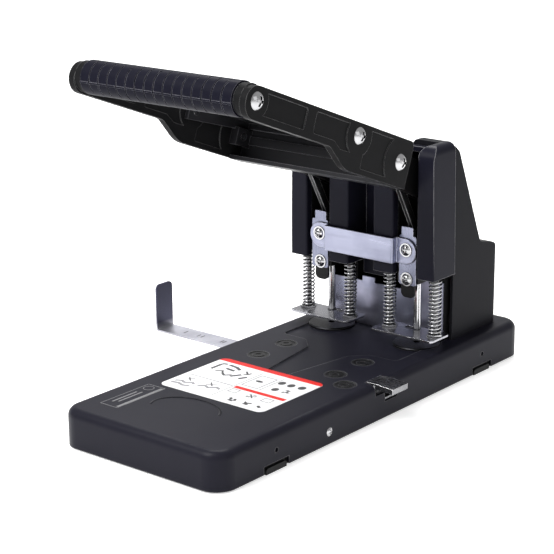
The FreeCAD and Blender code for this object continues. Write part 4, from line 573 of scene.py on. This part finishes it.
# %% Dress the solids
finish_table = {
    base_enamel: ["base_shell"],
    cap_plastic: ["screw_caps"],
    tray_plastic: ["chip_tray", "guide_rail"],
    tower_plastic: ["front_cover"],
    rear_plastic: ["rear_cover"],
    link_steel: ["link_left", "link_right"],
    black_steel: ["inner_lever_left", "inner_lever_right", "head_block_left", "head_block_right"],
    hidden_steel: ["frame_cheeks_left", "frame_cheeks_right", "tie_bolts", "tie_spacers",
                   "shaft_spacers", "shaft_rings", "chassis_plate", "rod_bridge_left",
                   "rod_bridge_right", "cover_screws"],
    arm_enamel: ["arm_left", "arm_right"],
    yoke_enamel_with_painted_light: ["yoke"],
    grip_rubber: ["grip_sleeve"],
    bright_chrome: ["head_screws", "arm_bolts", "grip_screws", "side_screws", "spring_seats",
                    "punch_pin_left", "punch_pin_right"],
    plate_chrome: ["pressure_plate_left", "pressure_plate_right"],
    lock_steel: ["guide_lock", "lock_pin"],
    strap_steel: ["head_strap"],
    face_steel: ["face_plate_left", "face_plate_right"],
    guide_steel: ["paper_guide"],
    wavy_steel: ["back_plate"],
    die_steel: ["die_left", "die_right"],
    rod_steel: ["guide_rods_left", "guide_rods_right", "rod_nuts", "lever_shafts", "link_head_pins",
                "link_foot_pin_left", "link_foot_pin_right", "grip_shaft"],
    bronze: ["head_bushes", "lever_bushes"],
    label_film: ["instruction_label"],
}
dressed = set()
for finish, names in finish_table.items():
    for name in names:
        for material_slot in solids[name].material_slots:
            material_slot.material = finish
        dressed.add(name)
wound_springs = ["spring_left_inner", "spring_left_outer", "spring_right_inner", "spring_right_outer"]
undressed = sorted(set(solids) - dressed - set(wound_springs))
assert not undressed, "no finish for: " + ", ".join(undressed)
print("dressed", len(dressed), "solids")

# %% [markdown]
# ## The return springs
#
# Four coil springs stand on the guide rods and push the heads up again. A real spring is wound from
# round wire, with its last turn at each end lying close so that it sits flat. Spin does the winding: a
# small ring of points goes round the rod's axis, and each step also lifts it a little. The close end
# turns and the open middle turns are three spins, one after the other.

# %% Wind one spring
spring_wire = 1.2 * mm
spring_width = 10.0 * mm
spring_turns = 17
close_turns = 1
steps_per_turn = 24
wire_sides = 12
close_pitch = 1.3 * mm


def wind_spring(name):
    """A wound spring in the place of the model's solid of that name."""
    low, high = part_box(name)
    axis_x = (low.x + high.x) / 2
    axis_y = (low.y + high.y) / 2
    work = bmesh.new()
    bmesh.ops.create_circle(work, segments=wire_sides, radius=spring_wire / 2)
    quarter_turn = Matrix.Rotation(math.tau / 4, 3, "X")
    bmesh.ops.rotate(work, verts=work.verts[:], cent=(0, 0, 0), matrix=quarter_turn)
    start = Vector((axis_x + (spring_width - spring_wire) / 2, axis_y, low.z + spring_wire / 2))
    bmesh.ops.translate(work, verts=work.verts[:], vec=start)
    rise = (high.z - low.z) - spring_wire
    open_turns = spring_turns - 2 * close_turns
    open_pitch = (rise - 2 * close_turns * close_pitch) / open_turns
    last = work.verts[:] + work.edges[:]
    first_ring = work.edges[:]
    for turns, pitch in ((close_turns, close_pitch), (open_turns, open_pitch), (close_turns, close_pitch)):
        steps = turns * steps_per_turn
        spun = bmesh.ops.spin(work, geom=last, cent=(axis_x, axis_y, 0), axis=(0, 0, 1),
                              dvec=(0, 0, pitch / steps_per_turn), angle=math.tau * turns,
                              steps=steps, use_merge=False, use_duplicate=False)
        last = spun["geom_last"]
    last_ring = [part for part in last if isinstance(part, bmesh.types.BMEdge)]
    for ring in (first_ring, last_ring):
        bmesh.ops.contextual_create(work, geom=[edge for edge in ring if edge.is_valid])
    return finish_piece("wound_" + name, work, smooth=True)


# %% Put the springs in place
for name in wound_springs:
    low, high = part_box(name)
    spring = wind_spring(name)
    spring.data.materials.append(bright_chrome)
    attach(spring, "frame")
    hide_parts(name)
    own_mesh(spring)

# %% [markdown]
# ## Flat marks: ink and engraving
#
# The label's bands and figures, the outlined place on the base and the marks on the paper guide are all
# thin and flat. Each is drawn on its surface as a face, and the face is raised by the thickness of a
# layer of ink, so it is a closed piece that never flickers against the surface below. The figures are
# generic ones of the kind that show how a punch is used: a sheet, an arrow, a crossed-out fold. Places
# and widths on a surface are given in plain millimetres, and the helpers turn them into metres.

# %% Drawing helpers
ink_thickness = 0.04 * mm
disc_sides = 24
ring_sides = 32


def raise_faces(work, faces, height):
    """Gives flat faces a thickness upwards."""
    raised = bmesh.ops.extrude_face_region(work, geom=faces)
    moved = [part for part in raised["geom"] if isinstance(part, bmesh.types.BMVert)]
    bmesh.ops.translate(work, verts=moved, vec=(0, 0, height))


def draw_stroke(work, points, width, z, height=ink_thickness):
    """A line of even width through points given in millimetres."""
    spots = [work.verts.new((x * mm, y * mm, z)) for x, y in points]
    edges = [work.edges.new(pair) for pair in zip(spots[:-1], spots[1:])]
    way = (spots[-1].co - spots[0].co).normalized()
    side = Vector((-way.y, way.x, 0)) * width * mm
    bmesh.ops.translate(work, verts=spots, vec=side * -0.5)
    grown = bmesh.ops.extrude_edge_only(work, edges=edges)
    moved = [part for part in grown["geom"] if isinstance(part, bmesh.types.BMVert)]
    faces = [part for part in grown["geom"] if isinstance(part, bmesh.types.BMFace)]
    bmesh.ops.translate(work, verts=moved, vec=side)
    raise_faces(work, faces, height)


def draw_disc(work, place, across, deep, z, height=ink_thickness):
    """A filled round or oval spot, its sizes in millimetres."""
    x, y = place
    made = bmesh.ops.create_circle(work, cap_ends=True, segments=disc_sides, radius=0.5)
    bmesh.ops.scale(work, verts=made["verts"], vec=(across * mm, deep * mm, 1))
    bmesh.ops.translate(work, verts=made["verts"], vec=(x * mm, y * mm, z))
    raise_faces(work, list(made["verts"][0].link_faces), height)


def draw_ring(work, place, across, deep, width, z, height=ink_thickness):
    """A round or oval outline, its sizes in millimetres."""
    x, y = place
    made = bmesh.ops.create_circle(work, cap_ends=False, segments=ring_sides, radius=0.5)
    outer = made["verts"]
    edges = list({edge for vertex in outer for edge in vertex.link_edges})
    bmesh.ops.scale(work, verts=outer, vec=(across * mm, deep * mm, 1))
    grown = bmesh.ops.extrude_edge_only(work, edges=edges)
    inner = [part for part in grown["geom"] if isinstance(part, bmesh.types.BMVert)]
    faces = [part for part in grown["geom"] if isinstance(part, bmesh.types.BMFace)]
    bmesh.ops.scale(work, verts=inner, vec=((across - 2 * width) / across, (deep - 2 * width) / deep, 1))
    bmesh.ops.translate(work, verts=outer + inner, vec=(x * mm, y * mm, z))
    raise_faces(work, faces, height)


def draw_frame(work, low, high, width, z, height=ink_thickness):
    """The outline of a rectangle between two corners, in millimetres."""
    left, front = low
    right, rear = high
    for points in (((left, front), (right, front)), ((left, rear), (right, rear)),
                   ((left, front), (left, rear)), ((right, front), (right, rear))):
        draw_stroke(work, points, width, z, height)


def place_mark(name, work, material, body):
    """Finishes a drawn piece, gives it its ink and lets it ride on a body."""
    piece = finish_piece(name, work)
    piece.data.materials.append(material)
    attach(piece, body)
    return piece


# %% [markdown]
# ### The red bands
#
# A red band runs along the label's rear edge, and a short one heads the lower right group of figures.
# The long band has the label's own rounded corners, so it starts as a rectangle whose two rear corners
# are bevelled round before it gets its thickness.

# %% Print the red bands
label_low, label_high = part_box("instruction_label")
label_top = label_high.z
label_corner = 5.0 * mm
corner_segments = 6
band_depth = 5.6 * mm
short_band = ((-3.5, -76.6), (41.5, -76.6))
short_band_width = 4.2

work = bmesh.new()
band = [work.verts.new((x, y, label_top)) for x, y in (
    (label_low.x, label_high.y - band_depth), (label_high.x, label_high.y - band_depth),
    (label_high.x, label_high.y), (label_low.x, label_high.y))]
work.faces.new(band)
bmesh.ops.bevel(work, geom=band[2:], offset=label_corner, offset_type="OFFSET", segments=corner_segments,
                profile=0.5, affect="VERTICES", material=-1)
raise_faces(work, work.faces[:], ink_thickness)
draw_stroke(work, short_band, short_band_width, label_top)
place_mark("label_red_bands", work, red_ink, "frame")

# %% [markdown]
# ### The figures
#
# The figures are drawn with the stroke, disc and ring helpers. Their coordinates are millimetres on the
# base, X to the right and Y to the rear, so a figure can be checked against a ruler.

# %% Places of the dark figures
lever_figure = [
    [(-42.0, -47.5), (-40.8, -45.2), (-38.0, -44.0)],
    [(-41.6, -47.5), (-41.6, -58.5)],
    [(-35.5, -44.5), (-28.0, -45.6), (-22.5, -48.6)],
    [(-36.0, -60.5), (-31.5, -57.0), (-29.0, -60.5), (-25.0, -63.5), (-21.0, -60.0)],
    [(-20.0, -62.5), (-15.5, -55.5)],
    [(-12.0, -63.0), (-9.0, -57.0)],
    [(-33.0, -51.5), (-24.5, -52.5)],
]
arrow_figure = [
    [(-17.0, -47.8), (-12.0, -52.5)],
    [(-15.4, -53.4), (-12.0, -52.5)],
    [(-11.4, -49.0), (-12.0, -52.5)],
]
ringed_cross = (18.2, -84.6)
cross_places = [(-38.6, -84.2), (-19.1, -83.3), ringed_cross]
spot_places = [((18.3, -51.3), 5.6, 6.6), ((26.6, -51.3), 5.6, 6.6), ((35.6, -50.6), 5.8, 6.6),
               ((22.5, -64.1), 5.4, 6.2), ((3.5, -58.3), 6.4, 3.4)]
squiggle = [[(30.0, -60.5), (33.0, -61.5), (31.5, -63.5), (34.5, -64.5)],
            [(29.5, -64.5), (31.0, -65.5)]]
hand_figures = [[(8.5, -95.0), (11.0, -97.5), (13.0, -95.5), (15.0, -98.5)],
                [(9.5, -99.0), (14.0, -99.6)],
                [(21.5, -95.5), (24.0, -97.0), (27.5, -95.2)],
                [(22.5, -98.5), (26.5, -98.8)],
                [(33.5, -96.0), (37.0, -98.5)]]
print("dark figures:", len(lever_figure + arrow_figure + squiggle + hand_figures), "lines and",
      len(cross_places), "crosses and", len(spot_places), "spots")

# %% Print the dark figures
lever_width = 2.6
arrow_width = 1.5
small_width = 2.2
cross_width = 1.0
cross_arm = 2.8
figure_widths = ((lever_figure, lever_width), (arrow_figure, arrow_width),
                 (squiggle, small_width), (hand_figures, small_width))

work = bmesh.new()
for figure, width in figure_widths:
    for points in figure:
        draw_stroke(work, points, width, label_top)
for x, y in cross_places:
    for lean in (1, -1):
        ends = [(x - cross_arm, y - lean * cross_arm), (x + cross_arm, y + lean * cross_arm)]
        draw_stroke(work, ends, cross_width, label_top)
for place, across, deep in spot_places:
    draw_disc(work, place, across, deep, label_top)
place_mark("label_dark_figures", work, dark_ink, "frame")

# %% [markdown]
# ### The grey lines
#
# Pale grey lines divide the label into fields, and wavy grey lines stand for sheets of paper that lie
# badly in the throat.

# %% Print the grey lines
middle_line = [(-45.5, -76.3), (-6.0, -76.3)]
divider_lines = [
    [(-5.0, -44.0), (-5.0, -100.5)],
    [(14.5, -44.0), (14.5, -72.5)],
    [(-27.5, -78.5), (-27.5, -100.5)],
]
wavy_sheets = [
    [(-45.5, -92.5), (-41.0, -90.0), (-36.5, -92.0), (-32.0, -89.0), (-29.0, -90.5)],
    [(-25.5, -91.0), (-21.0, -88.0), (-16.5, -90.0), (-12.0, -86.0), (-8.0, -87.5)],
    [(-45.5, -96.5), (-40.0, -95.0), (-34.0, -97.0), (-29.5, -95.0)],
]
sheet_frames = [((-1.8, -86.5), (5.0, -80.5)), ((28.5, -87.5), (36.0, -81.5)), ((-2.5, -70.5), (11.5, -48.0))]
middle_line_width = 1.1
divider_width = 0.6
sheet_width = 2.8
frame_width = 0.8
ring_across = 7.4
ring_deep = 6.4
ring_width = 0.5

work = bmesh.new()
draw_stroke(work, middle_line, middle_line_width, label_top)
for points in divider_lines:
    draw_stroke(work, points, divider_width, label_top)
for points in wavy_sheets:
    draw_stroke(work, points, sheet_width, label_top)
for low, high in sheet_frames:
    draw_frame(work, low, high, frame_width, label_top)
draw_ring(work, ringed_cross, ring_across, ring_deep, ring_width, label_top)
place_mark("label_grey_lines", work, grey_ink, "frame")

# %% [markdown]
# ### The outlined place on the base
#
# Near the base's left edge a thin grey outline is printed on the enamel, with a few plain bars and a
# ring in it. They are drawn as the label's lines are, a little thicker, because enamel ink stands up more.

# %% Outline the printed place
base_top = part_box("base_shell")[1].z
place_low = (-54.8, -157.0)
place_high = (-39.0, -109.5)
bar_line = [(-40.6, -155.5), (-40.6, -111.0)]
row_lines = [[(-50.5, -150.0), (-50.5, -126.0)], [(-47.0, -147.5), (-47.0, -124.0)]]
place_ring = (-49.0, -115.5)
place_ring_size = 8.0
outline_width = 0.5
bar_width = 2.2
row_width = 1.3
place_thickness = 0.06 * mm

work = bmesh.new()
draw_frame(work, place_low, place_high, outline_width, base_top, place_thickness)
draw_stroke(work, bar_line, bar_width, base_top, place_thickness)
for points in row_lines:
    draw_stroke(work, points, row_width, base_top, place_thickness)
draw_ring(work, place_ring, place_ring_size, place_ring_size, outline_width, base_top, place_thickness)
place_mark("outlined_place", work, place_ink, "frame")

# %% [markdown]
# ### The moulded arc
#
# On the front of the base runs a low rounded ridge that fades out at both ends. A flat half-round
# profile is spun round the arc's centre over a little more than half a turn, squeezed into an oval, and
# its height is faded with the angle, so that both ends sink into the base. It has the duller finish of
# the rear cover, because on so narrow a ridge the enamel's painted edge highlight would light its whole
# length.

# %% Mould the arc
arc_centre = Vector((-2.0 * mm, -130.0 * mm, base_top))
arc_radius = 27.0 * mm
arc_squeeze = 0.7
arc_profile_half = 1.1 * mm
arc_height = 0.5 * mm
arc_start = math.radians(12)
arc_sweep = math.radians(192)
arc_steps = 72
arc_profile_points = 7
arc_fade_power = 0.5
arc_least_height = 0.05

work = bmesh.new()
profile = []
for index in range(arc_profile_points):
    across = math.pi * index / (arc_profile_points - 1)
    spot = (arc_radius + arc_profile_half * math.cos(across), 0, arc_height * math.sin(across))
    profile.append(work.verts.new(spot))
for pair in zip(profile, profile[1:] + profile[:1]):
    work.edges.new(pair)
work.faces.new(profile)
bmesh.ops.rotate(work, verts=profile, cent=(0, 0, 0), matrix=Matrix.Rotation(arc_start, 3, "Z"))
bmesh.ops.spin(work, geom=work.verts[:] + work.edges[:] + work.faces[:], cent=(0, 0, 0), axis=(0, 0, 1),
               dvec=(0, 0, 0), angle=arc_sweep, steps=arc_steps, use_merge=False, use_duplicate=False)
for vertex in work.verts:
    angle = math.atan2(vertex.co.y, vertex.co.x)
    passed = ((angle - arc_start) % math.tau) / arc_sweep
    fade = math.sin(math.pi * passed) ** arc_fade_power if passed < 1.0 else 0.0
    vertex.co.z = vertex.co.z * max(fade, arc_least_height)
bmesh.ops.scale(work, verts=work.verts[:], vec=(1, arc_squeeze, 1))
bmesh.ops.translate(work, verts=work.verts[:], vec=arc_centre)
arc_piece = finish_piece("moulded_arc", work, smooth=True)
arc_piece.data.materials.append(rear_plastic)
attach(arc_piece, "frame")

# %% [markdown]
# ### Marks on the paper guide
#
# Short dark strokes on the guide's strip show where it stands for each paper size. On the real strip
# they are engraved and filled with paint.

# %% Mark the guide's strip
strip_thickness = 1.3 * mm
strip_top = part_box("paper_guide")[0].z + strip_thickness
mark_places = [-126.0, -112.5, -108.5, -89.0, -86.5]
mark_length = 5.0
mark_width = 1.2
mark_middle = 8.0
mark_thickness = 0.03 * mm

work = bmesh.new()
for place in mark_places:
    ends = [(place, mark_middle - mark_length / 2), (place, mark_middle + mark_length / 2)]
    draw_stroke(work, ends, mark_width, strip_top, mark_thickness)
place_mark("guide_marks", work, dark_ink, "paper_guide")

# %% [markdown]
# ## The floor and the light
#
# The object stands on a plain white table. Soft boxes are large lamps behind cloth, and large lamps give
# soft edges to highlights and shadows. The main one stands to the front left, a weak one fills in from
# the right, and one from behind draws the upper edges. The room is white near its horizon and a soft
# grey above, so that dark plastic doesn't mirror a white ceiling. The table glows a little where the
# camera or a mirror sees it, which makes the background white without more light on the object.

# %% Make the floor
floor_half = 6.0
floor_drop = 0.1 * mm
floor_colour = (0.82, 0.82, 0.82, 1.0)
floor_roughness = 0.9
floor_glow = 0.56
white = (1.0, 1.0, 1.0, 1.0)

work = bmesh.new()
bmesh.ops.create_grid(work, x_segments=1, y_segments=1, size=floor_half)
bmesh.ops.translate(work, verts=work.verts[:], vec=(0, 0, -floor_drop))
floor = finish_piece("floor", work)
if floor.data.polygons[0].normal.z < 0:
    floor.data.flip_normals()

floor_paint = bpy.data.materials.new("floor_paint")
floor_paint.use_nodes = True
floor_tree = floor_paint.node_tree
floor_shader = floor_tree.nodes["Principled BSDF"]
floor_shader.inputs["Base Color"].default_value = floor_colour
floor_shader.inputs["Roughness"].default_value = floor_roughness
floor_shader.inputs["Specular IOR Level"].default_value = 0.0
ray = floor_tree.nodes.new("ShaderNodeLightPath")
mirrored = math_node(floor_tree, "MAXIMUM", ray.outputs["Is Glossy Ray"], ray.outputs["Is Transmission Ray"])
seen = math_node(floor_tree, "MAXIMUM", ray.outputs["Is Camera Ray"], mirrored)
glow = math_node(floor_tree, "MULTIPLY", seen, floor_glow)
floor_tree.links.new(glow, floor_shader.inputs["Emission Strength"])
floor_shader.inputs["Emission Color"].default_value = white
floor.data.materials.append(floor_paint)

# %% Light the room
horizon_height = 0.05
ceiling_height = 0.22
horizon_strength = 1.0
ceiling_strength = 0.5

world = bpy.data.worlds.new("studio")
bpy.context.scene.world = world
world.use_nodes = True
air = world.node_tree
backdrop = air.nodes["Background"]
direction = air.nodes.new("ShaderNodeTexCoord")
air_axes = air.nodes.new("ShaderNodeSeparateXYZ")
air.links.new(direction.outputs["Generated"], air_axes.inputs["Vector"])
level = range_node(air, air_axes.outputs["Z"], horizon_height, ceiling_height,
                   horizon_strength, ceiling_strength)
backdrop.inputs["Color"].default_value = white
air.links.new(level, backdrop.inputs["Strength"])
print("the room is white at the horizon and has strength", ceiling_strength, "above")

# %% Place the soft boxes
object_middle = Vector((0.0, 0.0, 0.1))
soft_box_size = 1.0
soft_boxes = {
    "key_box": ((-0.45, -1.1, 1.5), 38.0),
    "fill_box": ((1.5, -0.5, 1.0), 2.4),
    "rear_box": ((-0.7, 1.0, 1.7), 32.0),
}


def place_soft_box(name, place, power):
    """A large square lamp that points at the object's middle."""
    lamp = bpy.data.lights.new(name, "AREA")
    lamp.shape = "SQUARE"
    lamp.size = soft_box_size
    lamp.energy = power
    box = bpy.data.objects.new(name, lamp)
    box.location = place
    box.rotation_euler = (object_middle - Vector(place)).to_track_quat("-Z", "Y").to_euler()
    bpy.context.scene.collection.objects.link(box)


for name, (place, power) in soft_boxes.items():
    place_soft_box(name, place, power)
